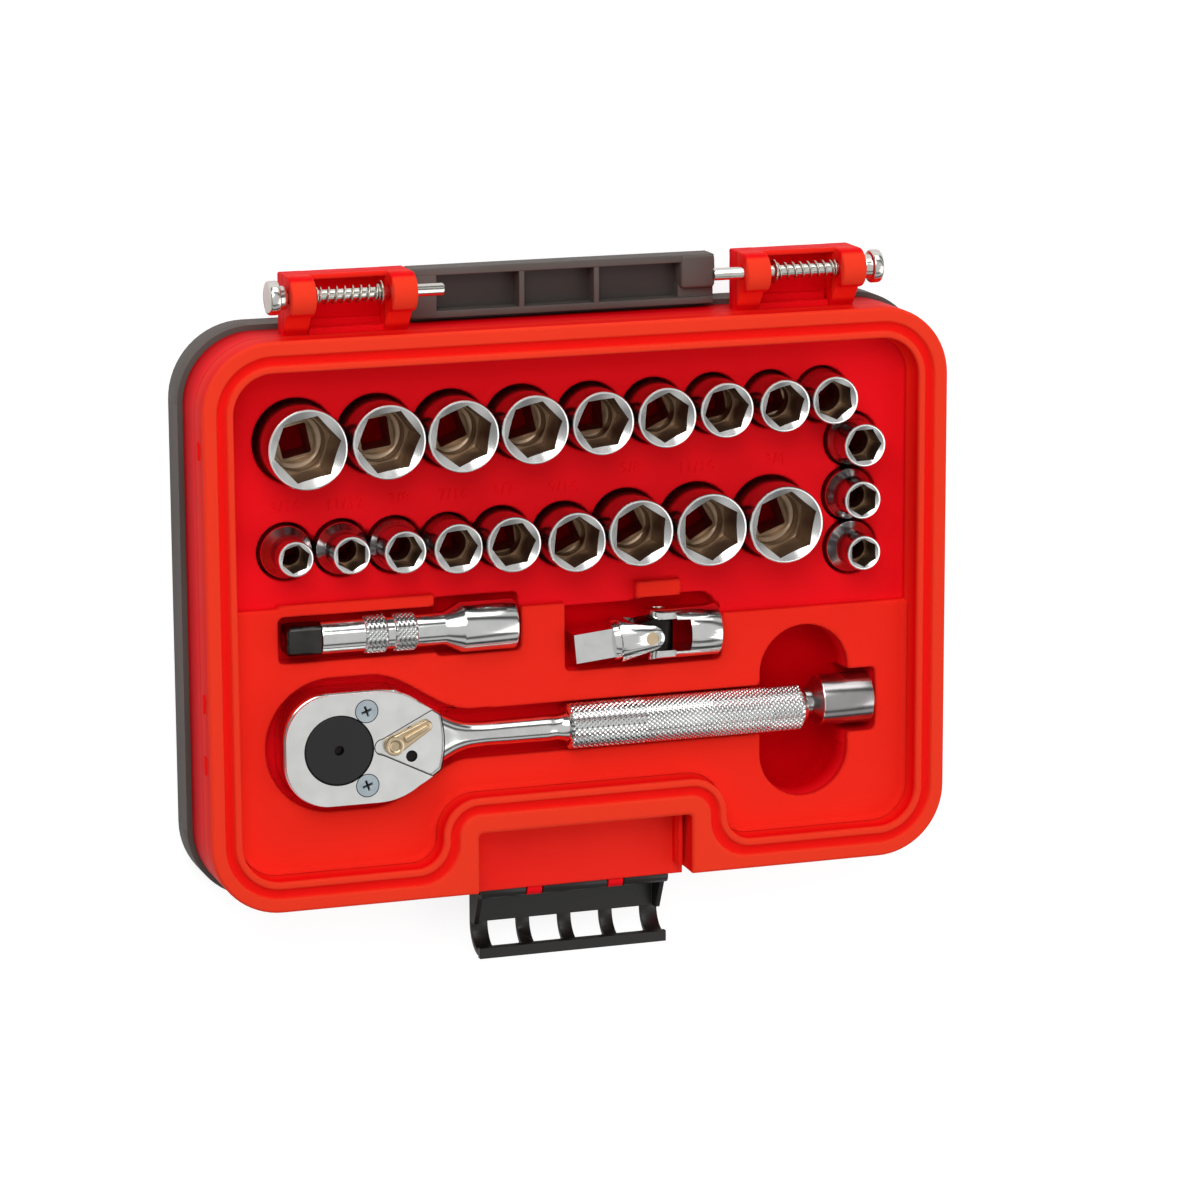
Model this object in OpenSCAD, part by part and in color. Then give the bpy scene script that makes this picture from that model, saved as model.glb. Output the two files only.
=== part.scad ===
// Socket wrench set in a moulded case: the lid is stowed under the open base.
// Z is up, X runs along the hinge, +Y is the hinge side, Z = 0 is the face that the case stands on.

/* [Case] */
// Length of the base over its rim, along X
case_l = 250; // [246:1:262]
// Width of the base over its rim, along Y
case_w = 184; // [180:1:190]
// Corner radius of the base, seen from above
case_corner_r = 23; // [18:1:26]
// Height of the base
base_h = 27; // [26:0.5:32]
// Height of the stowed lid
lid_h = 12; // [11:0.5:16]
// How far the lid's wall stands outside the base's wall
lid_overhang = 1.5; // [1:0.1:1.8]
// Wall thickness of the moulded shells
wall = 2.6; // [2.4:0.1:3]

/* [Rim] */
// Width of the flat band along the outer edge
band_w = 4.6; // [4:0.1:5]
// Width of the groove inside the band
groove_w = 3.2; // [2.5:0.1:3.5]
// Depth of the groove
groove_d = 1.6; // [1:0.1:2.5]
// Width of the inner rim
inner_rim_w = 2.2; // [2:0.1:2.6]

/* [Latch recess] */
// Width of the recess in the front edge
recess_w = 73; // [71:1:78]
// How far the recess reaches in from the front edge
recess_in = 20; // [18:0.5:21]
// Depth of the recess floor below the rim
recess_d = 12; // [8:0.5:13]
// Width of the flat band round the recess
recess_band_w = 6.4; // [5.5:0.1:6.6]

/* [Tray] */
// Depth of the floor between the sockets, below the rim
zone_d = 12; // [10.5:0.25:12]
// Depth of the raised floor round the ratchet, below the rim
plateau_d = 8.5; // [7.5:0.25:9]
// Depth of the floor that the standing sockets rest on, below the rim
hole_d = 24.5; // [24:0.1:24.5]
// Free space round a standing socket
hole_clear = 0.9; // [0.5:0.1:1.1]
// Gap under a tool that lies in its pocket
seat_gap = 0.05; // [0.03:0.01:0.1]
// Length of the finger scoop, along Y
scoop_l = 58; // [54:1:58]
// Width of the finger scoop, along X
scoop_w = 31; // [28:0.5:31]
// Depth of the finger scoop below the rim
scoop_d = 21; // [19:0.5:22]

/* [Hinge] */
// Distance of the hinge axis from the base's back wall
hinge_out = 13; // [12.5:0.1:14]
// Depth of the hinge axis below the rim
hinge_drop = 5; // [5:0.5:7]
// Radius of the lugs that carry a release pin
lug_r = 6.4; // [6:0.1:7]
// Distance of the outer lugs' outer faces from the middle of the case
lug_outer_x = 96.5; // [94:0.5:98]
// Distance of the inner lugs' inner faces from the middle of the case
lug_inner_x = 55; // [55:0.5:56]
// Diameter of a release pin
pin_d = 4; // [3.5:0.1:4.5]
// Diameter of the head of a release pin
pin_head_d = 10.8; // [9:0.1:12]
// Radial running clearance of the release pins
pin_clear = 0.1; // [0.05:0.01:0.15]
// Outer diameter of a release spring
spring_d = 7; // [6.6:0.1:7.4]
// Wire diameter of a release spring
spring_wire = 0.9; // [0.7:0.05:1]
// Turns of a release spring
spring_turns = 9.5; // [7:0.5:10]
// How far a release pin's tip stands out of its inner lug
pin_reach = 10; // [9:0.5:10.5]

/* [Latch] */
// Length of the latch along X
latch_l = 64.6; // [62:0.2:66]
// Radius of the latch's barrel
latch_barrel_r = 2.5; // [2.4:0.1:2.6]
// Distance of the latch's pivot in front of the base
latch_out = 3.4; // [3.3:0.1:4]
// Height of the latch's pivot below the rim
latch_drop = 15; // [15:0.5:15.5]
// Reach of the latch from its pivot to its lip
latch_reach = 22.4; // [21:0.2:24]
// How deep the latch is curved
latch_bow = 11.4; // [10.5:0.1:11.5]
// Thickness of the latch's plate
latch_t = 2; // [1.8:0.1:2.2]
// Diameter of the latch's pin
latch_pin_d = 2; // [1.8:0.1:2.2]
// Width of one window in the latch
window_w = 10; // [8:0.5:10.5]
// Distance between the windows' middles
window_pitch = 14.4; // [13.5:0.1:14.6]

/* [Drive] */
// Side of a male drive square
drive_sq = 9.5; // [9.4:0.01:9.55]
// Side of a female drive square
drive_hole = 9.75; // [9.7:0.01:9.9]
// Length of a male drive square
drive_l = 10.2; // [9.5:0.1:10.4]
// Depth of a female drive square
drive_depth = 11.5; // [11:0.1:12]
// Diameter of a detent ball
ball_d = 3; // [2.6:0.1:3.2]
// How far a detent ball stands out of its square
ball_out = 0.7; // [0.5:0.05:0.8]

/* [Sockets] */
// Diameter of the drive end of the small sockets
drive_end_d = 17; // [16.6:0.1:17.1]
// Clearance added to a socket's size across its flats
hex_clear = 0.2; // [0.1:0.05:0.3]
// Length of a large socket
long_len = 28.5; // [27:0.1:30]
// Length of a middle socket
mid_len = 27; // [26:0.1:28]
// Length of a small socket
short_len = 25.2; // [24.5:0.1:26]
// Length of the narrow end of a small socket
nose_l = 10; // [8:0.5:11]
// Height of the shoulder under that nose
shoulder_l = 0.9; // [0.5:0.1:1.5]

/* [Ratchet] */
// Thickness of the ratchet's head
head_t = 13.5; // [13:0.1:14]
// Depth of the head's upper face below the rim
head_drop = 0.5; // [0.3:0.1:1]
// Diameter of the knurled handle
handle_d = 15; // [13:0.1:15.4]
// Diameter of the thumb disc
disc_d = 22.6; // [21:0.1:23]
// Thickness of the cover plate
cover_t = 1.4; // [1.2:0.1:1.6]
// Teeth of the drive gear
gear_teeth = 40; // [30:1:45]
// Radius of the drive gear over its teeth
gear_r = 11.8; // [11.6:0.1:11.9]
// Depth of a gear tooth
tooth_d = 0.9; // [0.6:0.05:1]
// Clearance between the ratchet's moving pieces
run_clear = 0.15; // [0.1:0.01:0.2]
// Angle of the reversing lever at rest, from the handle's axis
lever_angle = 28; // [24:1:32]

/* [Extension and joint] */
// Diameter of the extension's shaft
ext_shaft_d = 10.9; // [10:0.1:11.5]
// Diameter of the extension's knurled bands
ext_knurl_d = 12.6; // [12:0.1:13]
// Diameter of the extension's socket end
ext_end_d = 16.4; // [16:0.1:16.8]
// Diameter of the universal joint's socket yoke
joint_d = 17; // [16.6:0.1:17.2]
// Diameter of the universal joint's cross pins
cross_pin_d = 4.2; // [3.8:0.1:4.3]
// Angle at which the joint's drive yoke lies in its pocket
yoke_rest = 5.4; // [4:0.1:6]

/* [Hidden] */
$fn = 64;
base_z = lid_h;
rim_z = lid_h + base_h;
ball_well = ball_d + 0.3;
zone_z = rim_z - zone_d;
plateau_z = rim_z - plateau_d;
hole_z = rim_z - hole_d;
over = 1;

// Sockets that stand in the tray: name, size across flats, outer diameter, length class (0 short,
// 1 middle, 2 long), X, Y and turn about the socket's axis
STANDING = [
  ["socket_19mm", 19, 25.8, 2, -92.3, 58.0, 12],
  ["socket_18mm", 18, 24.0, 2, -65.9, 58.8, 8],
  ["socket_17mm", 17, 23.4, 2, -41.5, 59.1, 22],
  ["socket_16mm", 16, 22.4, 2, -17.8, 59.8, 14],
  ["socket_15mm", 15, 20.8, 1, 5.4, 60.2, 5],
  ["socket_14mm", 14, 19.8, 1, 27.0, 60.7, 25],
  ["socket_13mm", 13, 18.2, 1, 47.4, 61.9, 10],
  ["socket_12mm", 12, 17.3, 1, 67.3, 62.1, 16],
  ["socket_11mm", 11, 15.9, 0, 85.4, 62.6, 36],
  ["socket_10mm", 10, 14.4, 0, 95.8, 47.1, 2],
  ["socket_9mm", 9, 12.7, 0, 95.1, 29.0, 28],
  ["socket_8mm", 8, 11.6, 0, 95.7, 11.4, 32],
  ["socket_5_16in", 7.94, 11.6, 0, -96.0, 22.8, 18],
  ["socket_11_32in", 8.73, 12.3, 0, -77.8, 22.8, 30],
  ["socket_3_8in", 9.53, 13.9, 0, -60.2, 22.6, 0],
  ["socket_7_16in", 11.11, 16.3, 0, -42.6, 22.5, 4],
  ["socket_1_2in", 12.7, 18.1, 1, -24.7, 22.9, 7],
  ["socket_9_16in", 14.29, 19.6, 1, -3.6, 22.2, 24],
  ["socket_5_8in", 15.88, 21.8, 2, 17.6, 24.0, 27],
  ["socket_11_16in", 17.46, 23.9, 2, 41.7, 23.4, 31],
  ["socket_3_4in", 19.05, 25.4, 2, 67.3, 23.3, 20]
];

// ---------- Shared shapes ----------

// Flat rectangle with round corners, centred
module round_rect(l, w, r) {
  square([l - 2 * r, w], center = true);
  square([l, w - 2 * r], center = true);
  for (x = [-1, 1], y = [-1, 1])
    translate([x * (l / 2 - r), y * (w / 2 - r)]) circle(r = r);
}

// Box from one corner to the opposite one
module box(a, b) {
  translate(a) cube(b - a);
}

// Cylinder along +X from x
module rod_x(x, y, z, r, l) {
  translate([x, y, z]) rotate([0, 90, 0]) cylinder(r = r, h = l);
}

// Cone along +X from x
module cone_x(x, y, z, r1, r2, l) {
  translate([x, y, z]) rotate([0, 90, 0]) cylinder(r1 = r1, r2 = r2, h = l);
}

// Square bar along +X from x
module bar_x(x, y, z, side, l) {
  translate([x, y - side / 2, z - side / 2]) cube([l, side, side]);
}

// Helical spring along +X, starting at the origin, built as one swept tube
module coil(l, d, wire, turns, per_turn = 12, sides = 6) {
  n = round(turns * per_turn);
  r = (d - wire) / 2;
  ring = [for (i = [0 : n]) for (j = [0 : sides - 1])
    let (a = 360 * turns * i / n, b = 360 * j / sides, rr = r + wire / 2 * cos(b))
    [wire / 2 + (l - wire) * i / n + wire / 2 * sin(b), rr * cos(a), rr * sin(a)]];
  skin = [for (i = [0 : n - 1]) for (j = [0 : sides - 1])
    [i * sides + j, i * sides + (j + 1) % sides, (i + 1) * sides + (j + 1) % sides,
      (i + 1) * sides + j]];
  ends = [[for (j = [sides - 1 : -1 : 0]) j], [for (j = [0 : sides - 1]) n * sides + j]];
  polyhedron(points = ring, faces = concat(skin, ends));
}

// ---------- Case ----------

hinge_y = case_w / 2 + hinge_out;
hinge_z = rim_z - hinge_drop;
bracket_floor_z = hinge_z - 16.5;
bracket_floor_t = 3;
lug_outer_t = 9.5;
lug_inner_t = 8;
latch_y = -case_w / 2 - latch_out;
latch_z = rim_z - latch_drop;
latch_lug_x = 14;
latch_lug_t = 5;
latch_gap = 0.4;

// Outline of the recess, grown by g, with round upper corners and fillets where it leaves the front line
module recess_outline(g, top_r, foot_r, front_y) {
  x = recess_w / 2 + g;
  y = -case_w / 2 + recess_in + g;
  translate([-x, -case_w]) square([2 * x, case_w + y - top_r]);
  translate([-x + top_r, -case_w]) square([2 * (x - top_r), case_w + y]);
  for (s = [-1, 1]) {
    translate([s * (x - top_r), y - top_r]) circle(r = top_r);
    if (foot_r > 0)
      difference() {
        translate([s * (x + foot_r / 2), front_y + foot_r / 2]) square(foot_r, center = true);
        translate([s * (x + foot_r), front_y + foot_r]) circle(r = foot_r);
      }
  }
}

// Area inside the base, at a distance g from its outer edge and gr from the recess
module inside(g, gr, top_r, foot_r) {
  difference() {
    round_rect(case_l - 2 * g, case_w - 2 * g, case_corner_r - g);
    recess_outline(gr, top_r, foot_r, -case_w / 2 + g);
  }
}

tray_in = band_w + groove_w + inner_rim_w;
tray_in_recess = recess_band_w + groove_w + inner_rim_w;

module tray_area() {
  inside(tray_in, tray_in_recess, 12, 9);
}

// Parts of the tray floor that lie at the sockets' level
module zone_area() {
  intersection() {
    tray_area();
    union() {
      translate([-case_l / 2, 6]) square([case_l, case_w]);
      translate([-case_l / 2, 5]) square([case_l / 2 - 99.6, case_w]);
      translate([-48.3, -5]) square([29.2, case_w]);
      translate([-19.5, 0]) square([15.2, case_w]);
      translate([-4.6, -4]) square([24.7, case_w]);
      translate([20, 5.2]) square([15.4, case_w]);
      translate([35.3, -4]) square([14.2, case_w]);
      translate([49.4, -7.3]) square([case_l, case_w]);
    }
  }
}

head_x = -82.7;
ratchet_y = -40.4;
head_z = rim_z - head_drop - head_t;
handle_z = rim_z - 7.4;
handle_x0 = -4.9;
handle_x1 = 77.6;
tang_well_r = 8.8;

// Ratchet pocket seen from above, grown by g
module ratchet_pocket(g) {
  translate([head_x, ratchet_y]) circle(r = 22 + g);
  translate([-68, ratchet_y]) circle(r = 20.5 + g);
  translate([0, ratchet_y])
    polygon([[head_x, 22 + g], [-66, 21 + g], [-50, 13.8 + g], [-40, 8.6 + g],
      [-40, -8.6 - g], [-50, -13.8 - g], [-66, -21 - g], [head_x, -22 - g]]);
}

ext_y = -5;
ext_z = rim_z - 9;
ext_x0 = -98;
ext_x1 = -22;
joint_y = -12.1;
joint_z = rim_z - 9;
joint_x1 = 47.6;
small_x0 = 78.3;
small_x1 = 102.3;
small_y = -40.1;
small_z = rim_z - 13;

function hole_r(s) = max(s[2], drive_end_d) / 2 + hole_clear;

// Everything that is hollowed out of the tray; g grows the hollows sideways and down
module pockets(g) {
  top = rim_z + over;
  for (s = STANDING)
    translate([s[4], s[5], hole_z - g]) cylinder(r = hole_r(s) + g, h = top - hole_z + g);
  ext_floor = ext_z - ext_knurl_d / 2 - seat_gap - g;
  ext_end_floor = ext_z - ext_end_d / 2 - seat_gap - g;
  box([ext_x0 - 1.8 - g, ext_y - 7.9 - g, ext_floor], [-47 + g, ext_y + 7.2 + g, top]);
  box([-47.8 - g, ext_y - 9.2 - g, ext_end_floor], [ext_x1 + 2.9 + g, ext_y + 9.4 + g, top]);
  joint_floor = joint_z - joint_d / 2 - seat_gap - g;
  box([-4.3 - g, joint_y - 10.4 - g, joint_floor], [21 + g, joint_y + 10.6 + g, top]);
  box([20 - g, joint_y - 10.4 - g, joint_floor], [joint_x1 + 1.7 + g, joint_y + 5 + g, top]);
  box([20 - g, joint_y, joint_floor], [joint_x1 - 5.3 + g, joint_y + 12 + g, top]);
  translate([joint_x1 - 5.3, joint_y + 5, joint_floor]) cylinder(r = 7 + g, h = top - joint_floor);
  translate([0, 0, head_z - seat_gap - g])
    linear_extrude(top - head_z + g + 1) ratchet_pocket(g);
  translate([head_x, ratchet_y, hole_z - g]) cylinder(r = tang_well_r + g, h = top - hole_z);
  handle_floor = handle_z - handle_d / 2 - seat_gap - g;
  box([-45, ratchet_y - 8.2 - g, handle_floor], [handle_x1 + 2, ratchet_y + 7.8 + g, top]);
  translate([78.5, -42.2, rim_z - scoop_d - g])
    linear_extrude(scoop_d + over + g)
      round_rect(scoop_w + 2 * g, scoop_l + 2 * g, scoop_w / 2 + g - 0.01);
  box([78, small_y - 10.7 - g, small_z - drive_end_d / 2 - seat_gap - g],
    [small_x1 + 1.4 + g, small_y + 10.7 + g, top]);
}

// Bracket of one release pin on the back wall's outer face; s is -1 on the left, 1 on the right
module bracket(s) {
  y0 = case_w / 2;
  y1 = hinge_y + lug_r;
  x0 = lug_inner_x;
  x1 = lug_outer_x;
  translate([0, 0, bracket_floor_z])
    linear_extrude(bracket_floor_t)
      polygon([for (p = [[x0, y0], [x0, y1 - 1.2], [x0 + 3, y1], [x1 - 5, y1], [x1, y1 - 2.6], [x1, y0]])
        [s * p[0], p[1]]]);
  for (p = [[x0, lug_inner_t], [x1 - lug_outer_t, lug_outer_t]]) {
    x = s > 0 ? p[0] : -p[0] - p[1];
    rod_x(x, hinge_y, hinge_z, lug_r, p[1]);
    box([x, hinge_y - lug_r, bracket_floor_z], [x + p[1], hinge_y + lug_r, hinge_z]);
    box([x, y0, bracket_floor_z], [x + p[1], hinge_y, hinge_z - 2.5]);
  }
}

// One bracket with the bore that its release pin runs in
module bored_bracket(s) color("crimson") {
  difference() {
    bracket(s);
    rod_x(s * (lug_inner_x + lug_outer_x) / 2 - 30, hinge_y, hinge_z, pin_d / 2 + pin_clear, 60);
  }
}

module left_bracket() bored_bracket(-1);
module right_bracket() bored_bracket(1);

// Lugs under the recess that carry the latch's pin
module latch_lugs() {
  for (s = [-1, 1]) {
    x = s * latch_lug_x - latch_lug_t / 2;
    rod_x(x, latch_y, latch_z, latch_barrel_r, latch_lug_t);
    box([x, latch_y, latch_z - latch_barrel_r],
      [x + latch_lug_t, -case_w / 2 + wall, latch_z + latch_barrel_r]);
  }
}

// The base as it is moulded, without its hinge brackets
module moulding() color("crimson") {
  difference() {
    union() {
      difference() {
        translate([0, 0, base_z])
          linear_extrude(base_h) inside(0, 0, 1.5, 0);
        translate([0, 0, base_z - over])
          linear_extrude(zone_z - wall - base_z + over)
            inside(wall, wall, 4, 0);
        translate([0, 0, zone_z]) linear_extrude(zone_d + over) zone_area();
        translate([0, 0, plateau_z]) linear_extrude(plateau_d + over) tray_area();
        translate([0, 0, rim_z - groove_d])
          linear_extrude(groove_d + over)
            difference() {
              inside(band_w, recess_band_w, 7, 13);
              inside(band_w + groove_w, recess_band_w + groove_w, 10, 11);
            }
      }
      intersection() {
        pockets(wall - 0.5);
        translate([0, 0, base_z])
          linear_extrude(zone_z - base_z) inside(0.01, 0.01, 4, 0);
      }
      translate([0, 0, base_z])
        linear_extrude(base_h - recess_d)
          intersection() {
            recess_outline(wall, 4, 0, 0);
            difference() {
              round_rect(case_l, case_w, case_corner_r);
              round_rect(case_l - 2 * wall, case_w - 2 * wall, case_corner_r - wall);
            }
          }
      translate([0, 0, rim_z - recess_d - wall])
        linear_extrude(wall)
          intersection() {
            recess_outline(wall, 4, 0, 0);
            round_rect(case_l, case_w, case_corner_r);
          }
      latch_lugs();
      for (s = [-1, 1], y = [58, -23, -43])
        translate([s * case_l / 2, y, rim_z - 6]) cube([1.2, 6, 2], center = true);
    }
    pockets(0);
    rod_x(-40, latch_y, latch_z, latch_pin_d / 2 + 0.02, 80);
  }
}

// Where the moulding is divided: inside the inner rim, between the rear and the middle sockets, between
// those and the other tools, and across the middle. The divided pieces touch; they are one moulding in
// the real case.
field_in = 0.3;
field_shoulder_r = 12;
field_foot_r = 9;
rear_field_y = 37.3;
tool_field_y = 1.5;

module field_prism() {
  translate([0, 0, base_z - over])
    linear_extrude(base_h + 2 * over)
      inside(tray_in + field_in, tray_in_recess + field_in, field_shoulder_r, field_foot_r);
}

// Part of the moulding inside the rim, between two corners of the floor
module field(a, b) {
  intersection() {
    moulding();
    field_prism();
    box([a[0], a[1], 0], [b[0], b[1], rim_z + over]);
  }
}

// Rim, outer wall and latch recess of one end of the moulding
module tray_rim(x0, x1) {
  difference() {
    intersection() {
      moulding();
      box([x0, -case_w, 0], [x1, case_w, rim_z + over]);
    }
    field_prism();
  }
}

module tray_rim_left() color("crimson") tray_rim(-case_l, 0);
module tray_rim_right() color("crimson") tray_rim(0, case_l);
module rear_field_left() color("crimson") field([-case_l, rear_field_y], [0, case_w]);
module rear_field_right() color("crimson") field([0, rear_field_y], [case_l, case_w]);
module middle_field_left() color("crimson") field([-case_l, tool_field_y], [0, rear_field_y]);
module middle_field_right() color("crimson") field([0, tool_field_y], [case_l, rear_field_y]);
module tool_field_left() color("crimson") field([-case_l, -case_w], [0, tool_field_y]);
module tool_field_right() color("crimson") field([0, -case_w], [case_l, tool_field_y]);

lid_barrel_r = 6.5;
lid_barrel_x = 53.8;
lid_barrel_z = lid_h + hinge_drop - 2;

lid_w = case_w + 2 * lid_overhang;

module lid_shell() color("dimgray") {
  l = case_l + 2 * lid_overhang;
  r = case_corner_r + lid_overhang;
  floor_t = 2;
  difference() {
    linear_extrude(lid_h) round_rect(l, lid_w, r);
    translate([0, 0, floor_t])
      linear_extrude(lid_h) round_rect(l - 2 * wall, lid_w - 2 * wall, r - wall);
  }
}

// The lid's part of the hinge: a cored barrel on a flange, moulded to the lid's back wall
module lid_barrel() color("dimgray") {
  difference() {
    union() {
      rod_x(-lid_barrel_x, hinge_y, lid_barrel_z, lid_barrel_r, 2 * lid_barrel_x);
      box([-lid_barrel_x, lid_w / 2, lid_barrel_z - 5], [lid_barrel_x, hinge_y, lid_barrel_z + 3.5]);
      box([-lid_barrel_x, hinge_y - 1, lid_barrel_z - 5],
        [lid_barrel_x, hinge_y + lid_barrel_r, lid_barrel_z + 3.5]);
    }
    for (p = [[-40.6, 27.2], [-11.4, 22.8], [13.4, 27.2]])
      box([p[0], hinge_y - 4.4, lid_barrel_z - 3.4],
        [p[0] + p[1], hinge_y + 4, lid_barrel_z + lid_barrel_r + over]);
    for (s = [-1, 1])
      rod_x(s * lid_barrel_x - 10, hinge_y, lid_barrel_z, pin_d / 2 + 0.3, 20);
  }
}

// ---------- Release pins ----------

head_l = 5.2;
collar_l = 1.3;
clip_t = 0.9;
clip_x = 65.5;

// One release pin on the right; the left one is its mirror image
module hinge_pin_shape() {
  tip = lug_inner_x - pin_reach;
  rod_x(tip, hinge_y, hinge_z, pin_d / 2, lug_outer_x - tip + 1);
  rod_x(lug_outer_x + 0.05, hinge_y, hinge_z, pin_head_d / 2 - 2, collar_l);
  cone_x(lug_outer_x + collar_l, hinge_y, hinge_z, pin_head_d / 2 - 0.5, pin_head_d / 2, 0.5);
  rod_x(lug_outer_x + collar_l + 0.5, hinge_y, hinge_z, pin_head_d / 2, head_l - 1.3);
  cone_x(lug_outer_x + collar_l + head_l - 0.8, hinge_y, hinge_z,
    pin_head_d / 2, pin_head_d / 2 - 0.8, 0.8);
}

// Retaining clip pressed on the pin, a split washer
module pin_clip_shape() {
  difference() {
    rod_x(clip_x, hinge_y, hinge_z, spring_d / 2 + 0.3, clip_t);
    rod_x(clip_x - over, hinge_y, hinge_z, pin_d / 2, clip_t + 2 * over);
    box([clip_x - over, hinge_y - 0.8, hinge_z - spring_d], [clip_x + clip_t + over, hinge_y + 0.8, hinge_z]);
  }
}

module pin_spring_shape() {
  x0 = clip_x + clip_t;
  translate([x0 + 0.02, hinge_y, hinge_z])
    coil(lug_outer_x - lug_outer_t - x0 - 0.04, spring_d, spring_wire, spring_turns);
}

module left_hinge_pin() color("gainsboro") mirror([1, 0, 0]) hinge_pin_shape();
module right_hinge_pin() color("gainsboro") hinge_pin_shape();
module left_pin_clip() color("silver") mirror([1, 0, 0]) pin_clip_shape();
module right_pin_clip() color("silver") pin_clip_shape();
module left_pin_spring() color("lightgray") mirror([1, 0, 0]) pin_spring_shape();
module right_pin_spring() color("lightgray") pin_spring_shape();

// ---------- Latch ----------

// Section of the latch; u runs away from the pivot, v runs up
module latch_section() {
  bend_r = 7.4 + latch_t;
  u_plate = latch_reach - bend_r;
  v_in = latch_t - latch_bow;
  translate([-1.1, -latch_bow]) square([latch_t + 0.2, latch_bow]);
  translate([-1.1, -latch_bow]) square([u_plate + 1.1, latch_t]);
  intersection() {
    translate([u_plate, -latch_bow]) square(bend_r);
    difference() {
      translate([u_plate, bend_r - latch_bow]) circle(r = bend_r);
      translate([u_plate, bend_r - latch_bow]) circle(r = bend_r - latch_t);
    }
  }
  translate([latch_reach - latch_t - 1, bend_r - latch_bow - 0.01]) square([latch_t + 1.6, 2.2]);
  circle(r = latch_barrel_r);
}

// Stiffening cheek at each end of the latch
module latch_cheek() {
  polygon([[-1, 0], [-1, -latch_bow], [13, -latch_bow], [13, -latch_bow + 5], [3, -1.5]]);
}

// Places a section drawn in u and v, extruded along X from x over a length l
module along_latch(x, l) {
  translate([x, latch_y, latch_z])
    rotate([90, 0, -90]) mirror([0, 0, 1])
      linear_extrude(l) children();
}

module latch() color("black") {
  difference() {
    union() {
      along_latch(-latch_l / 2, latch_l) latch_section();
      for (s = [-1, 1])
        along_latch(s * (latch_l / 2 - 0.8) - 0.8, 1.6) latch_cheek();
    }
    for (i = [-1.5 : 1 : 1.5])
      box([i * window_pitch - window_w / 2, latch_y - latch_reach + 1.6, latch_z - latch_bow - over],
        [i * window_pitch + window_w / 2, latch_y - latch_reach + 9.4, latch_z - 2.4]);
    for (s = [-1, 1])
      box([s * latch_lug_x - latch_lug_t / 2 - latch_gap, latch_y - latch_barrel_r - over,
          latch_z - latch_barrel_r - 0.6],
        [s * latch_lug_x + latch_lug_t / 2 + latch_gap, latch_y + latch_barrel_r + over,
          latch_z + latch_barrel_r + over]);
    rod_x(-latch_l / 2 - over, latch_y, latch_z, latch_pin_d / 2 + 0.08, latch_l + 2 * over);
  }
}

module latch_pin() color("dimgray") {
  rod_x(-latch_l / 2 + 1, latch_y, latch_z, latch_pin_d / 2, latch_l - 2);
}

// ---------- Sockets ----------

function socket_len(s) = [short_len, mid_len, long_len][s[3]];

// Socket standing on its drive end at the origin
module socket_shape(af, d, len) {
  small = d < drive_end_d;
  hex_d = (af + hex_clear) / cos(30);
  hex_l = small ? nose_l - 1 : len * 0.45;
  bore_d = min(af * 0.92, small ? af * 0.88 : af);
  end_d = small ? drive_end_d : max(drive_end_d, d - 2.6);
  edge = 0.6;
  neck = small ? len - nose_l : len - 15.5;
  slope = small ? shoulder_l : 1.2;
  difference() {
    union() {
      cylinder(d1 = end_d - 2 * edge, d2 = end_d, h = edge);
      translate([0, 0, edge]) cylinder(d = end_d, h = neck - slope - edge);
      translate([0, 0, neck - slope]) cylinder(d1 = end_d, d2 = d, h = slope);
      translate([0, 0, neck]) cylinder(d = d, h = len - neck - edge);
      translate([0, 0, len - edge]) cylinder(d1 = d, d2 = d - 2 * edge, h = edge);
    }
    translate([0, 0, len - hex_l]) cylinder(d = hex_d, h = hex_l + over, $fn = 6);
    translate([0, 0, drive_depth - 1]) cylinder(d = bore_d, h = len - hex_l - drive_depth + 2);
    translate([0, 0, drive_depth / 2 - over])
      cube([drive_hole, drive_hole, drive_depth + 2 * over - 0.01], center = true);
    translate([0, 0, len - 0.8])
      cylinder(d1 = af * 0.98, d2 = min(hex_d + 0.4, d - 1.6), h = 0.81);
  }
}

module standing_socket(i) color("silver") {
  s = STANDING[i];
  translate([s[4], s[5], hole_z])
    rotate([0, 0, s[6]]) socket_shape(s[1], s[2], socket_len(s));
}

module socket_1_4in() color("silver") {
  af = 6.35;
  end_x = small_x0 + 5.5;
  hex_d = (af + hex_clear) / cos(30);
  difference() {
    union() {
      rod_x(small_x0, small_y, small_z, 4.9, 3.5);
      cone_x(small_x0 + 3, small_y, small_z, 4.9, drive_end_d / 2, end_x - small_x0 - 3);
      rod_x(end_x, small_y, small_z, drive_end_d / 2, small_x1 - end_x - 0.6);
      cone_x(small_x1 - 0.6, small_y, small_z, drive_end_d / 2, drive_end_d / 2 - 0.6, 0.6);
    }
    translate([small_x0 - over, small_y, small_z])
      rotate([0, 90, 0]) cylinder(d = hex_d, h = 8 + over, $fn = 6);
    rod_x(small_x0 + 7, small_y, small_z, 2.8, 8);
    bar_x(small_x1 - drive_depth, small_y, small_z, drive_hole, drive_depth + over);
  }
}

// ---------- Ratchet ----------

cover_z = head_z + head_t - cover_t;
gear_z = head_z + 2;
gear_h = cover_z - gear_z - 0.3;
hub_r = 7.6;
head_nose_x = -85.6;
head_nose_r = 15;
head_flat = 3.6;
head_cheek_x = -69.5;
head_cheek_r = head_nose_r + 2 * head_flat;
screw_x = -73.5;
screw_dy = 12.15;
lever_x = -64.5;
lever_recess_r = 35.2;
pawl_x = -69.4;
pawl_r = 7.8;

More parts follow.
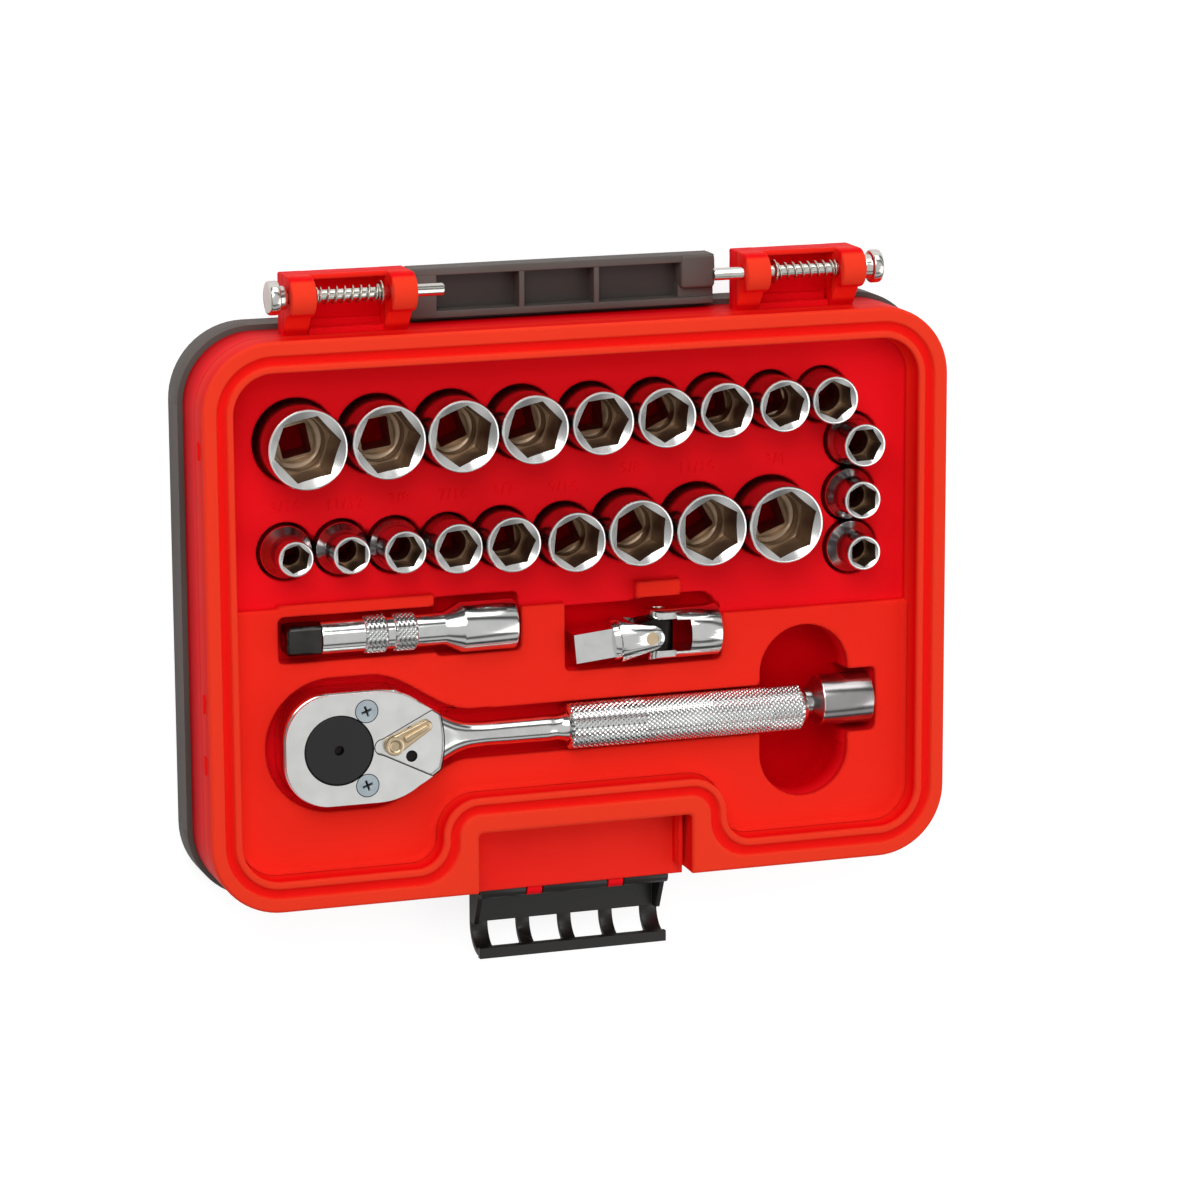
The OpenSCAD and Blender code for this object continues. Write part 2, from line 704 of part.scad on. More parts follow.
// Head of the ratchet seen from above, about the ratchet's axis, shrunk by g
module head_outline(g) {
  for (s = [-1, 1])
    translate([head_nose_x, s * head_flat]) circle(r = head_nose_r - g);
  intersection() {
    translate([head_cheek_x, head_flat]) circle(r = head_cheek_r - g);
    translate([head_cheek_x, -head_flat]) circle(r = head_cheek_r - g);
  }
  half = head_nose_r + head_flat - g;
  translate([head_nose_x, -half]) square([head_cheek_x - head_nose_x, 2 * half]);
  translate([head_nose_x - head_nose_r + g, -head_flat]) square([head_nose_r, 2 * head_flat]);
}

// Shoulders that lead from the head to the neck
module shoulder_outline() {
  polygon([[-61, 16.6], [-53, 12], [-48, 8.6], [-43, 5.9], [-36, 4.2],
    [-36, -4.2], [-43, -5.9], [-48, -8.6], [-53, -12], [-61, -16.6]]);
}

// Three-cornered opening in the cover for the reversing lever
module lever_window() {
  intersection() {
    polygon([[-68.8, 2.4], [-52, 10.8], [-40, 10.8], [-40, -10.8], [-52, -10.8], [-68.8, -2.4]]);
    translate([head_x, 0]) circle(r = lever_recess_r);
  }
  translate([-68.4, 0]) circle(r = 2.6);
}

module on_ratchet(z) {
  translate([0, ratchet_y, z]) children();
}

module ratchet_body() color("silver") {
  difference() {
    union() {
      on_ratchet(head_z) linear_extrude(head_t - cover_t) {
        head_outline(0);
        intersection() {
          shoulder_outline();
          translate([head_x, 0]) circle(r = lever_recess_r);
        }
      }
      on_ratchet(handle_z - 4.5) linear_extrude(9) shoulder_outline();
      cone_x(-46, ratchet_y, handle_z, 4.2, 4.4, handle_x0 + 46.5);
      cone_x(handle_x0, ratchet_y, handle_z, handle_d / 2 - 1, handle_d / 2, 1);
      rod_x(handle_x0 + 1, ratchet_y, handle_z, handle_d / 2, handle_x1 - handle_x0 - 3.5);
      cone_x(handle_x1 - 2.5, ratchet_y, handle_z, handle_d / 2, handle_d / 2 - 2, 2.5);
    }
    translate([head_x, ratchet_y, gear_z - run_clear])
      cylinder(r = gear_r + 0.3, h = head_t);
    translate([head_x, ratchet_y, head_z - over]) cylinder(r = hub_r + run_clear, h = 5);
    translate([pawl_x, ratchet_y, gear_z - run_clear]) cylinder(r = pawl_r + 0.8, h = head_t);
    box([-64, ratchet_y - 1.6, gear_z + 3], [-57, ratchet_y + 1.6, gear_z + 6.2]);
    for (s = [-1, 1])
      translate([screw_x, ratchet_y + s * screw_dy, cover_z - 5]) cylinder(d = 3.2, h = 6);
  }
}

module ratchet_cover() color("lightgray") {
  difference() {
    on_ratchet(cover_z) linear_extrude(cover_t) {
      difference() {
        union() {
          head_outline(0.5);
          intersection() {
            translate([-0.4, 0]) shoulder_outline();
            translate([head_x, 0]) circle(r = lever_recess_r);
          }
        }
        lever_window();
        translate([head_x, 0]) circle(r = disc_d / 2 + run_clear);
      }
    }
    for (s = [-1, 1])
      translate([screw_x, ratchet_y + s * screw_dy, cover_z - 0.01]) {
        cylinder(d = 3.4, h = cover_t + over);
        translate([0, 0, 0.31]) cylinder(d1 = 5.4, d2 = 7.6, h = cover_t - 0.3);
      }
  }
  floor_t = 0.4;
  on_ratchet(cover_z) linear_extrude(floor_t)
    difference() {
      intersection() {
        lever_window();
        translate([head_x, 0]) circle(r = lever_recess_r - 0.4);
        union() {
          head_outline(0.6);
          translate([-0.4, 0]) shoulder_outline();
        }
      }
      translate([lever_x, 0]) circle(r = 2.4);
      for (s = [-1, 1])
        translate([lever_x + 6, s * 4]) circle(r = 1.9);
    }
}

module cover_screws() color("lightsteelblue") {
  for (s = [-1, 1])
    translate([screw_x, ratchet_y + s * screw_dy, cover_z])
      difference() {
        union() {
          translate([0, 0, 0.35]) cylinder(d1 = 5.2, d2 = 7.2, h = cover_t - 0.35);
          translate([0, 0, -4]) cylinder(d = 3, h = 4.5);
        }
        for (a = [0, 90])
          rotate([0, 0, a + 20]) translate([0, 0, cover_t]) cube([3.6, 0.8, 1.6], center = true);
      }
}

module thumb_disc() color("black") {
  translate([head_x, ratchet_y, cover_z])
    difference() {
      union() {
        cylinder(d = disc_d, h = cover_t - 0.4);
        translate([0, 0, cover_t - 0.4]) cylinder(d1 = disc_d, d2 = disc_d - 0.8, h = 0.4);
      }
      translate([0, 0, -over]) cylinder(d = 3.2, h = cover_t + 2 * over);
    }
}

// Ring of saw-like teeth, seen from above
module gear_outline(r, teeth, d) {
  polygon([for (i = [0 : teeth - 1]) for (k = [0 : 1])
    let (a = 360 * (i + 0.5 * k) / teeth, rr = k == 0 ? r : r - d)
    [rr * cos(a), rr * sin(a)]]);
}

ratchet_ball_z = head_z - drive_l / 2 - 0.6;

module drive_gear() color("silver") {
  difference() {
    translate([head_x, ratchet_y, 0]) {
      translate([0, 0, gear_z]) linear_extrude(gear_h) gear_outline(gear_r, gear_teeth, tooth_d);
      translate([0, 0, gear_z + gear_h - 0.01]) cylinder(r = 6, h = cover_z - gear_z - gear_h + 0.01);
      translate([0, 0, head_z - 0.01]) cylinder(r = hub_r, h = gear_z - head_z + 0.02);
      translate([-drive_sq / 2, -drive_sq / 2, head_z - drive_l]) cube([drive_sq, drive_sq, drive_l]);
    }
    translate([head_x, ratchet_y - drive_sq / 2 + ball_well, ratchet_ball_z])
      rotate([90, 0, 0]) cylinder(d = ball_d + 0.1, h = ball_well + over);
  }
}

module ratchet_ball() color("silver") {
  translate([head_x, ratchet_y - drive_sq / 2 - ball_out + ball_d / 2, ratchet_ball_z])
    sphere(d = ball_d);
}

pawl_t = gear_h - 0.4;
pawl_turn = lever_angle / 5;

module pawl() color("gray") {
  translate([lever_x, ratchet_y, gear_z + 0.2])
    rotate([0, 0, pawl_turn]) translate([-lever_x, 0, 0])
      difference() {
        linear_extrude(pawl_t)
          difference() {
            intersection() {
              translate([pawl_x, 0]) circle(r = pawl_r);
              translate([-78, -5]) square([16.4, 10]);
            }
            translate([head_x, 0]) circle(r = gear_r + 0.9);
            for (k = [-4 : 4])
              translate([head_x, 0]) rotate([0, 0, k * 5])
                translate([gear_r + 1.1, 0]) circle(r = 0.35, $fn = 4);
          }
        translate([lever_x, 0, -over]) cylinder(r = 1.95, h = pawl_t + 2 * over);
      }
}

module pawl_plunger() color("silver") {
  rod_x(-61.3, ratchet_y, gear_z + 4.6, 1.2, 1.7);
}

module pawl_spring() color("lightgray") {
  translate([-59.5, ratchet_y, gear_z + 4.6]) coil(2.4, 2.2, 0.4, 3, 10, 5);
}

module reversing_lever() color("burlywood") {
  translate([lever_x, ratchet_y, 0]) {
    translate([0, 0, gear_z + 0.5]) cylinder(r = 1.8, h = cover_z + 0.6 - gear_z);
    translate([0, 0, cover_z + 0.55]) cylinder(r = 3.1, h = 1.9);
    rotate([0, 0, lever_angle])
      translate([0, 0, cover_z + 0.55])
        linear_extrude(1.3) {
          polygon([[-1, 3], [6, 2.1], [12.2, 1.9], [12.2, -1.9], [6, -2.1], [-1, -3]]);
          translate([12.2, 0]) circle(r = 1.9);
        }
    rotate([0, 0, lever_angle])
      translate([0, 0, cover_z + 1.8])
        linear_extrude(1) {
          translate([5, -0.8]) square([7, 1.6]);
          translate([12, 0]) circle(r = 0.8);
          translate([5, 0]) circle(r = 0.8);
        }
  }
}

// ---------- Extension bar ----------

ext_ball_x = ext_x0 + 5;

module extension_bar() color("silver") {
  sh = ext_shaft_d / 2;
  difference() {
    union() {
      bar_x(ext_x0, ext_y, ext_z, drive_sq, drive_l + 1);
      cone_x(ext_x0 + drive_l, ext_y, ext_z, sh - 0.8, sh, 0.8);
      rod_x(ext_x0 + drive_l + 0.8, ext_y, ext_z, sh, 41.5);
      rod_x(-72.4, ext_y, ext_z, ext_knurl_d / 2, 7.5);
      rod_x(-62.6, ext_y, ext_z, ext_knurl_d / 2, 7.5);
      cone_x(-45.5, ext_y, ext_z, sh, ext_end_d / 2, 6);
      rod_x(-39.5, ext_y, ext_z, ext_end_d / 2, ext_x1 + 39.5 - 0.6);
      cone_x(ext_x1 - 0.6, ext_y, ext_z, ext_end_d / 2, ext_end_d / 2 - 0.6, 0.6);
    }
    bar_x(ext_x1 - drive_depth, ext_y, ext_z, drive_hole, drive_depth + over);
    translate([ext_ball_x, ext_y - drive_sq / 2 + ball_well, ext_z])
      rotate([90, 0, 0]) cylinder(d = ball_d + 0.1, h = ball_well + over);
  }
}

module extension_ball() color("silver") {
  translate([ext_ball_x, ext_y - drive_sq / 2 - ball_out + ball_d / 2, ext_z]) sphere(d = ball_d);
}

// ---------- Universal joint ----------

drive_pin_x = 22.9;
socket_pin_x = 27.9;
block_w = 5;
block_h = 4.6;
tine_y = 5.2;
tine_z = 4.9;
yoke_x0 = -2.4;

module joint_socket_yoke() color("silver") {
  difference() {
    union() {
      rod_x(36.5, joint_y, joint_z, joint_d / 2, joint_x1 - 36.5 - 0.6);
      cone_x(joint_x1 - 0.6, joint_y, joint_z, joint_d / 2, joint_d / 2 - 0.6, 0.6);
      intersection() {
        rod_x(20, joint_y, joint_z, joint_d / 2, 17);
        for (s = [-1, 1])
          translate([0, s * (tine_y + 5), 0]) {
            box([socket_pin_x, joint_y - 5, joint_z - 4.4], [37, joint_y + 5, joint_z + 4.4]);
            translate([socket_pin_x, joint_y + 5, joint_z]) rotate([90, 0, 0]) cylinder(r = 4.4, h = 10);
            box([32, joint_y - 5, joint_z - 9], [37, joint_y + 5, joint_z + 9]);
          }
      }
    }
    translate([socket_pin_x, joint_y + 12, joint_z])
      rotate([90, 0, 0]) cylinder(d = cross_pin_d + 0.02, h = 24);
    bar_x(joint_x1 - drive_depth + 1.4, joint_y, joint_z, drive_hole, drive_depth + over);
  }
}

module joint_centre_block() color("dimgray") {
  difference() {
    union() {
      box([drive_pin_x, joint_y - block_w, joint_z - block_h],
        [socket_pin_x, joint_y + block_w, joint_z + block_h]);
      translate([socket_pin_x, joint_y + block_w, joint_z])
        rotate([90, 0, 0]) cylinder(r = block_h, h = 2 * block_w);
      translate([drive_pin_x, joint_y, joint_z - block_h]) cylinder(r = block_w, h = 2 * block_h);
    }
    translate([drive_pin_x, joint_y, joint_z - 12]) cylinder(d = cross_pin_d + 0.1, h = 24);
    translate([socket_pin_x, joint_y + 12, joint_z])
      rotate([90, 0, 0]) cylinder(d = cross_pin_d + 0.1, h = 24);
  }
}

// Places what is drawn about the drive pin at the angle at which the yoke lies
module about_drive_pin() {
  translate([drive_pin_x, joint_y, joint_z]) rotate([0, 0, yoke_rest]) children();
}

joint_ball_x = yoke_x0 + 5 - drive_pin_x;

module joint_drive_yoke() color("silver") {
  x0 = yoke_x0 - drive_pin_x;
  x_collar = 10.9 - drive_pin_x;
  about_drive_pin()
    difference() {
      union() {
        bar_x(x0, 0, 0, drive_sq, x_collar - x0 + 1);
        rod_x(x_collar, 0, 0, 6.9, 2.4);
        intersection() {
          rod_x(x_collar + 2, 0, 0, 8.3, 16);
          translate([0, 0, -9]) linear_extrude(18) {
            polygon([[x_collar + 2, 7], [-6, 5.6], [0, 4.1], [0, -4.1], [-6, -5.6], [x_collar + 2, -7]]);
            circle(r = 4.1);
          }
        }
      }
      box([-5.3, -10, -tine_z], [10, 10, tine_z]);
      cylinder(d = cross_pin_d + 0.02, h = 20, center = true);
      translate([joint_ball_x, -drive_sq / 2 + ball_well, 0])
        rotate([90, 0, 0]) cylinder(d = ball_d + 0.1, h = ball_well + over);
    }
}

module joint_ball() color("silver") {
  about_drive_pin()
    translate([joint_ball_x, -drive_sq / 2 - ball_out + ball_d / 2, 0]) sphere(d = ball_d);
}

module joint_drive_pin() color("tan") {
  about_drive_pin() cylinder(d = cross_pin_d, h = 2 * 8.1, center = true);
}

module joint_socket_pin() color("tan") {
  translate([socket_pin_x, joint_y + 8.1, joint_z])
    rotate([90, 0, 0]) cylinder(d = cross_pin_d, h = 2 * 8.1);
}

// ---------- Output ----------

lid_shell();
lid_barrel();
tray_rim_left();
tray_rim_right();
rear_field_left();
rear_field_right();
middle_field_left();
middle_field_right();
tool_field_left();
tool_field_right();
left_bracket();
right_bracket();
latch();
latch_pin();
left_hinge_pin();
right_hinge_pin();
left_pin_spring();
right_pin_spring();
left_pin_clip();
right_pin_clip();
for (i = [0 : len(STANDING) - 1])
  standing_socket(i);
socket_1_4in();
ratchet_body();
ratchet_cover();
cover_screws();
thumb_disc();
drive_gear();
ratchet_ball();
pawl();
pawl_plunger();
pawl_spring();
reversing_lever();
extension_bar();
extension_ball();
joint_socket_yoke();
joint_centre_block();
joint_drive_yoke();
joint_socket_pin();
joint_drive_pin();
joint_ball();
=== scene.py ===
import math

import bpy
import numpy as np
from mathutils import Matrix


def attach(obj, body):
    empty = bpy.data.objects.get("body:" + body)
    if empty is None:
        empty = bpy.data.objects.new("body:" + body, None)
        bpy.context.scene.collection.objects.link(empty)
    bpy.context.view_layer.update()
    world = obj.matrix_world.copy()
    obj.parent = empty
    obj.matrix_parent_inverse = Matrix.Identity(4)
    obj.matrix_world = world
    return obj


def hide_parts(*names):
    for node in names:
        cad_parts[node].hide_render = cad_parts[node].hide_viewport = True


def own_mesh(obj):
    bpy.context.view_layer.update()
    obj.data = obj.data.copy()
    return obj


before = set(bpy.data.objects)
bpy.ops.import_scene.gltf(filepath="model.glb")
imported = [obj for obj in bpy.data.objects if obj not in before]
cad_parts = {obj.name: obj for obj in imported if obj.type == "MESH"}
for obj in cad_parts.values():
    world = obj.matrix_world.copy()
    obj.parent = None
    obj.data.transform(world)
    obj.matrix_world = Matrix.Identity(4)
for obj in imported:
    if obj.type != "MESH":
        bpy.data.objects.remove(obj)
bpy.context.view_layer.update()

# ---------------------------------------------------------------- camera
# A long lens high above the case, to its left and a little towards the hinge; the
# picture's upright runs along the case's width. Millimetres here, metres in Blender.
MM = 0.001
TURN, TILT, ROLL = (math.radians(angle) for angle in (18.64, 12.23, 0.27))
# The middle of the rim's plane in the camera's own axes: right, up, and away from it
RIM_SEEN_AT = np.array([-4.45, -2.57, -1500.0])
RIM_TOP = 39.0
to_camera = Matrix.Rotation(ROLL, 3, "Z") @ Matrix.Rotation(TILT, 3, "X") @ Matrix.Rotation(TURN, 3, "Y")
place = np.array([0, 0, RIM_TOP]) - np.array(to_camera).T @ RIM_SEEN_AT
lens_data = bpy.data.cameras.new("product_camera")
lens_data.sensor_width = 36
lens_data.lens = 140.13
lens_data.clip_end = 20


def put(name, data):
    """A new object in the scene, with its data."""
    thing = bpy.data.objects.new(name, data)
    bpy.context.scene.collection.objects.link(thing)
    return thing


camera = put("product_camera", lens_data)
camera.matrix_world = Matrix.Translation(place * MM) @ to_camera.transposed().to_4x4()
bpy.context.scene.camera = camera

# ---------------------------------------------------------------- red tray: plastic
# Polypropylene, injection moulded in a spark-eroded tool: a satin skin with a very
# fine grain, slightly uneven in colour and gloss.


def sheen(hex_colour):
    """The linear colour of an sRGB hex value, with full alpha."""
    parts = [int(hex_colour[i:i + 2], 16) / 255 for i in (1, 3, 5)]
    return tuple(p / 12.92 if p <= 0.04045 else ((p + 0.055) / 1.055) ** 2.4 for p in parts) + (1.0,)


def new_material(name):
    """An empty node material with its shader, and the shader."""
    material = bpy.data.materials.new(name)
    material.use_nodes = True
    return material, material.node_tree.nodes["Principled BSDF"]


def add(material, kind, settings=None, **links):
    """Adds one node: settings are its properties or input values, links are its input sockets."""
    tree = material.node_tree
    node = tree.nodes.new(kind)
    for key, value in (settings or {}).items():
        if key in node.inputs:
            node.inputs[key].default_value = value
        else:
            setattr(node, key, value)
    for key, socket in links.items():
        tree.links.new(socket, node.inputs[key.replace("_", " ")])
    return node


def join(material, source, target):
    """Joins an output socket to an input socket of a material's nodes."""
    material.node_tree.links.new(source, target)


def ramp(material, factor, stops):
    """A colour ramp on a factor: stops are (position, linear colour)."""
    node = add(material, "ShaderNodeValToRGB", Fac=factor)
    elements = node.color_ramp.elements
    while len(elements) < len(stops):
        elements.new(0.5)
    for element, (position, tint) in zip(elements, stops):
        element.position = position
        element.color = tint
    return node


def clouded(name, stops, cloud, gloss, grain, fixed):
    """Two tones in soft clouds, roughness that wanders with them from one gloss to the other, and a fine
    bump. cloud is (size in mm, detail), grain is (size in mm, strength, depth in mm), and fixed are other
    inputs of the shader."""
    material, shader = new_material(name)
    where = add(material, "ShaderNodeTexCoord").outputs["Object"]
    clouds = add(material, "ShaderNodeTexNoise", {"Scale": 1 / (cloud[0] * MM), "Detail": cloud[1]},
                 Vector=where)
    tones = ramp(material, clouds.outputs["Fac"], [(position, sheen(tint)) for position, tint in stops])
    join(material, tones.outputs["Color"], shader.inputs["Base Color"])
    polish = add(material, "ShaderNodeMapRange", {"To Min": gloss[0], "To Max": gloss[1]},
                 Value=clouds.outputs["Fac"])
    join(material, polish.outputs["Result"], shader.inputs["Roughness"])
    waves = add(material, "ShaderNodeTexNoise", {"Scale": 1 / (grain[0] * MM), "Detail": 2.0}, Vector=where)
    skin = add(material, "ShaderNodeBump", {"Strength": grain[1], "Distance": grain[2] * MM},
               Height=waves.outputs["Fac"])
    join(material, skin.outputs["Normal"], shader.inputs["Normal"])
    for key, value in fixed.items():
        shader.inputs[key].default_value = value
    return material


def grained_plastic(name, body, darker, gloss, grain_mm, grain_depth):
    """Moulded plastic: broad faint clouds of a darker tone, and the tool's sparked grain."""
    return clouded(name, [(0.3, darker), (0.7, body)], (45, 3.0), (gloss - 0.05, gloss + 0.07),
                   (grain_mm, 0.35, grain_depth), {"IOR": 1.49})


red_plastic = grained_plastic("red_polypropylene", "#F80612", "#EE020E", 0.42, 0.5, 0.02)


# Heights above the table: floor between the sockets, raised field round the tools, drive ends of the sockets
ZONE, PLATEAU, SEAT = 27.0, 30.5, 14.5


def paint_light_by_height(material):
    """Paints light and shade into the plastic by height, by a ramp from the sockets' seats to the rim: a pale
    orange painted highlight on the rim, painted shade on the floors between the tools and deepest in the pockets.
    The sheen is kept faint and red."""
    shader = material.node_tree.nodes["Principled BSDF"]
    base = shader.inputs["Base Color"].links[0].from_socket
    where = add(material, "ShaderNodeTexCoord").outputs["Object"]
    parts = add(material, "ShaderNodeSeparateXYZ", Vector=where)
    level = add(material, "ShaderNodeMapRange", {"From Min": SEAT * MM, "From Max": RIM_TOP * MM},
                Value=parts.outputs["Z"])
    # Painted shade low down, painted light on top, at: pocket floors, pocket walls, floor between the sockets,
    # step, floor round the tools, walls, top of the rim
    stops = [(0.0, "#8A0008"), (0.1, "#B8000C"), (0.27, "#D80010"), (0.51, "#FF1C26"), (0.53, "#FF1C24"),
             (0.58, "#DC0E18"), (0.635, "#FF3826"), (0.926, "#F60610"), (0.973, "#FF4A2E")]
    tones = ramp(material, level.outputs["Result"], [(place, sheen(tint)) for place, tint in stops])
    blend = add(material, "ShaderNodeMix", {"data_type": "RGBA", "blend_type": "MIX"})
    blend.inputs["Factor"].default_value = 0.72
    join(material, base, blend.inputs["A"])
    join(material, tones.outputs["Color"], blend.inputs["B"])
    join(material, blend.outputs["Result"], shader.inputs["Base Color"])
    shader.inputs["Specular IOR Level"].default_value = 0.03
    shader.inputs["Specular Tint"].default_value = (1.0, 0.08, 0.08, 1.0)


# Painted light and shade by height on the tray's red plastic
paint_light_by_height(red_plastic)

# ---------------------------------------------------------------- red tray: floor and pockets
# One moulded skin that drops from the raised field round the tools to the field between
# the sockets, and from both into drafted pockets with rounded mouths and feet.
CASE_L, CASE_W, CORNER = 250.0, 184.0, 23.0
# Width across flats, diameter, length, place in X and Y, and turn in degrees
SOCKETS = {
    "socket_19mm": (19, 25.8, 28.5, -92.3, 58.0, 12), "socket_18mm": (18, 24.0, 28.5, -65.9, 58.8, 8),
    "socket_17mm": (17, 23.4, 28.5, -41.5, 59.1, 22), "socket_16mm": (16, 22.4, 28.5, -17.8, 59.8, 14),
    "socket_15mm": (15, 20.8, 27.0, 5.4, 60.2, 5), "socket_14mm": (14, 19.8, 27.0, 27.0, 60.7, 25),
    "socket_13mm": (13, 18.2, 27.0, 47.4, 61.9, 10), "socket_12mm": (12, 17.3, 27.0, 67.3, 62.1, 16),
    "socket_11mm": (11, 15.9, 25.2, 85.4, 62.6, 36), "socket_10mm": (10, 14.4, 25.2, 95.8, 47.1, 2),
    "socket_9mm": (9, 12.7, 25.2, 95.1, 29.0, 28), "socket_8mm": (8, 11.6, 25.2, 95.7, 11.4, 32),
    "socket_5_16in": (7.94, 11.6, 25.2, -96.0, 22.8, 18), "socket_11_32in": (8.73, 12.3, 25.2, -77.8, 22.8, 30),
    "socket_3_8in": (9.53, 13.9, 25.2, -60.2, 22.6, 0), "socket_7_16in": (11.11, 16.3, 25.2, -42.6, 22.5, 4),
    "socket_1_2in": (12.7, 18.1, 27.0, -24.7, 22.9, 7), "socket_9_16in": (14.29, 19.6, 27.0, -3.6, 22.2, 24),
    "socket_5_8in": (15.88, 21.8, 28.5, 17.6, 24.0, 27), "socket_11_16in": (17.46, 23.9, 28.5, 41.7, 23.4, 31),
    "socket_3_4in": (19.05, 25.4, 28.5, 67.3, 23.3, 20),
}
DRIVE_END = 17.0
RATCHET_Y = -40.4
HEAD_X = -82.7


def line_points(start, end, steps):
    """Points evenly between two ends, without the ends."""
    return np.linspace(start, end, steps + 2)[1:-1]


def arc_points(centre, radius, first, last):
    """Eighteen points of an arc between two angles in degrees."""
    angles = np.radians(np.linspace(first, last, 18))
    return np.stack([centre[0] + radius * np.cos(angles), centre[1] + radius * np.sin(angles)], 1)


def tray_outline(inset):
    """The tray's edge moved inwards, counter-clockwise from the middle of the recess: straight runs, four
    corner arcs about fixed centres, and the recess with its own wider offset, round shoulders and flared
    feet. Returns the points, and for each whether it belongs to the recess."""
    known = [0, 4.6, 7.8, 10, 12]
    grow = np.interp(inset, known, [0, 6.4, 9.6, 11.8, 13.8])
    shoulder = np.interp(inset, known, [1.5, 7, 10, 12, 14])
    foot = np.interp(inset, known, [0.3, 13, 11, 9, 7])
    half = 36.5 + grow
    back = -72.0 + grow
    front = -CASE_W / 2 + inset
    cx, cy, r = CASE_L / 2 - CORNER, CASE_W / 2 - CORNER, CORNER - inset
    right = [arc_points((half - shoulder, back - shoulder), shoulder, 90, 0),
             arc_points((half + foot, front + foot), foot, 180, 270)]
    rest = [arc_points((cx, -cy), r, 270, 360), arc_points((cx, cy), r, 0, 90),
            arc_points((-cx, cy), r, 90, 180), arc_points((-cx, -cy), r, 180, 270)]
    left = [arc_points((-half - foot, front + foot), foot, 270, 360),
            arc_points((-half + shoulder, back - shoulder), shoulder, 180, 90)]
    arcs = right + rest + left
    points, recessed = [], []
    for i, arc in enumerate(arcs):
        following = arcs[(i + 1) % len(arcs)]
        run = line_points(arc[-1], following[0], 9)
        points += [arc, run]
        inside = i in (0, len(arcs) - 1, len(arcs) - 2)
        flags = np.full(len(arc), inside or i == 1)
        if i == 1:
            flags[-1] = False
        if i == len(arcs) - 2:
            flags[0] = False
        recessed += [flags, np.full(len(run), i in (0, len(arcs) - 2, len(arcs) - 1))]
    return np.concatenate(points), np.concatenate(recessed)


def box_distance(x, y, x0, x1, y0, y1, r):
    """Distance to a rectangle with round corners, negative inside; r is one radius, or four from lower left
    on, counter-clockwise."""
    radii = np.broadcast_to(np.asarray(r, float), 4)
    px, py = x - (x0 + x1) / 2, y - (y0 + y1) / 2
    r = np.where(py < 0, np.where(px < 0, radii[0], radii[1]), np.where(px < 0, radii[3], radii[2]))
    qx, qy = np.abs(px) - (x1 - x0) / 2 + r, np.abs(py) - (y1 - y0) / 2 + r
    return np.hypot(np.maximum(qx, 0), np.maximum(qy, 0)) + np.minimum(np.maximum(qx, qy), 0) - r


def outline_distance(x, y, outline):
    """Distance to a closed outline, negative inside: to the nearest of its edges, with the sign from how
    often a ray to the right crosses it."""
    ends = np.roll(outline, -1, axis=0)
    best = np.full(x.shape, 1e9)
    crossings = np.zeros(x.shape, int)
    for (ax, ay), (bx, by) in zip(outline, ends):
        ex, ey = bx - ax, by - ay
        share = np.clip(((x - ax) * ex + (y - ay) * ey) / (ex * ex + ey * ey + 1e-12), 0, 1)
        best = np.minimum(best, np.hypot(x - ax - share * ex, y - ay - share * ey))
        if ay != by:
            crossings += ((ay > y) != (by > y)) & (x < ex * (y - ay) / ey + ax)
    return np.where(crossings % 2, -best, best)


# Outline of the lower field between the sockets, closed well outside the tray
ZONE_EDGE = np.array([(-140, 5), (-99.6, 5), (-99.6, 6), (-48.3, 6), (-48.3, -5), (-19.1, -5), (-19.1, 0),
                      (-4.3, 0), (-4.3, -4), (20.1, -4), (20.1, 5.2), (35.4, 5.2), (35.4, -4), (49.5, -4),
                      (49.5, -7.3), (140, -7.3), (140, 110), (-140, 110)], float)


def ratchet_distance(x, y):
    """Round nose about the head, then a half width that falls along a cosine from head to neck."""
    neck, flare, start, run = 8.2, 13.8, -70, 34
    share = np.clip((x - start) / run, 0, 1)
    half = neck + flare * (0.5 + 0.5 * np.cos(np.pi * share))
    slope = flare * np.pi / 2 / run * np.sin(np.pi * share)
    side = (np.abs(y - RATCHET_Y) - half) / np.hypot(1, slope)
    nose = np.hypot(x - HEAD_X, y - RATCHET_Y) - neck - flare
    return np.where(x < HEAD_X, nose, np.maximum(side, x + 30))


def scoop_distance(x, y):
    """A stadium: the distance to a line along Y, less a radius."""
    return np.hypot(x - 78.5, y - np.clip(y, -55.7, -28.7)) - 15.5


def disc(cx, cy, r):
    """The distance function of a circle."""
    return lambda x, y: np.hypot(x - cx, y - cy) - r


def tub(*sides_and_corner):
    """The distance function of a rectangle with round corners."""
    return lambda x, y: box_distance(x, y, *sides_and_corner)


# (distance function, floor, level of the mouth, foot radius)
POCKETS = [(lambda x, y: outline_distance(x, y, ZONE_EDGE), ZONE, PLATEAU, 0.9)]
for af, d, length, sx, sy, turn in SOCKETS.values():
    POCKETS.append((disc(sx, sy, max(d, DRIVE_END) / 2 + 1.0), SEAT, ZONE, 0.6))
POCKETS += [
    (tub(-99.8, -46, -12.9, 2.3, 2.0), 23.6, PLATEAU, 1.5),  # extension bar's shaft
    (tub(-47.8, -19.1, -14.2, 4.6, 2.0), 21.7, PLATEAU, 1.5),  # and its socket end
    (tub(-4.3, 24, -22.6, -1.4, 2.0), 21.4, PLATEAU, 1.5),  # joint's drive end
    (tub(20, 49.4, -22.6, 0.0, (2, 2, 7, 2)), 21.4, PLATEAU, 1.5),  # and its socket end
    (ratchet_distance, 24.9, PLATEAU, 2.2),
    (disc(HEAD_X, RATCHET_Y, 8.8), SEAT, 24.9, 0.6),  # ratchet's drive square
    (tub(-45, 79.6, RATCHET_Y - 8.4, RATCHET_Y + 7.9, 1.5), 24.0, PLATEAU, 2.4),  # and its handle
    (scoop_distance, 17.0, PLATEAU, 2.2),
    (tub(77, 103.8, -50.9, -29.3, 2.0), 17.4, PLATEAU, 1.5),  # smallest socket, lying
]
DRAFT = math.tan(math.radians(2.2))


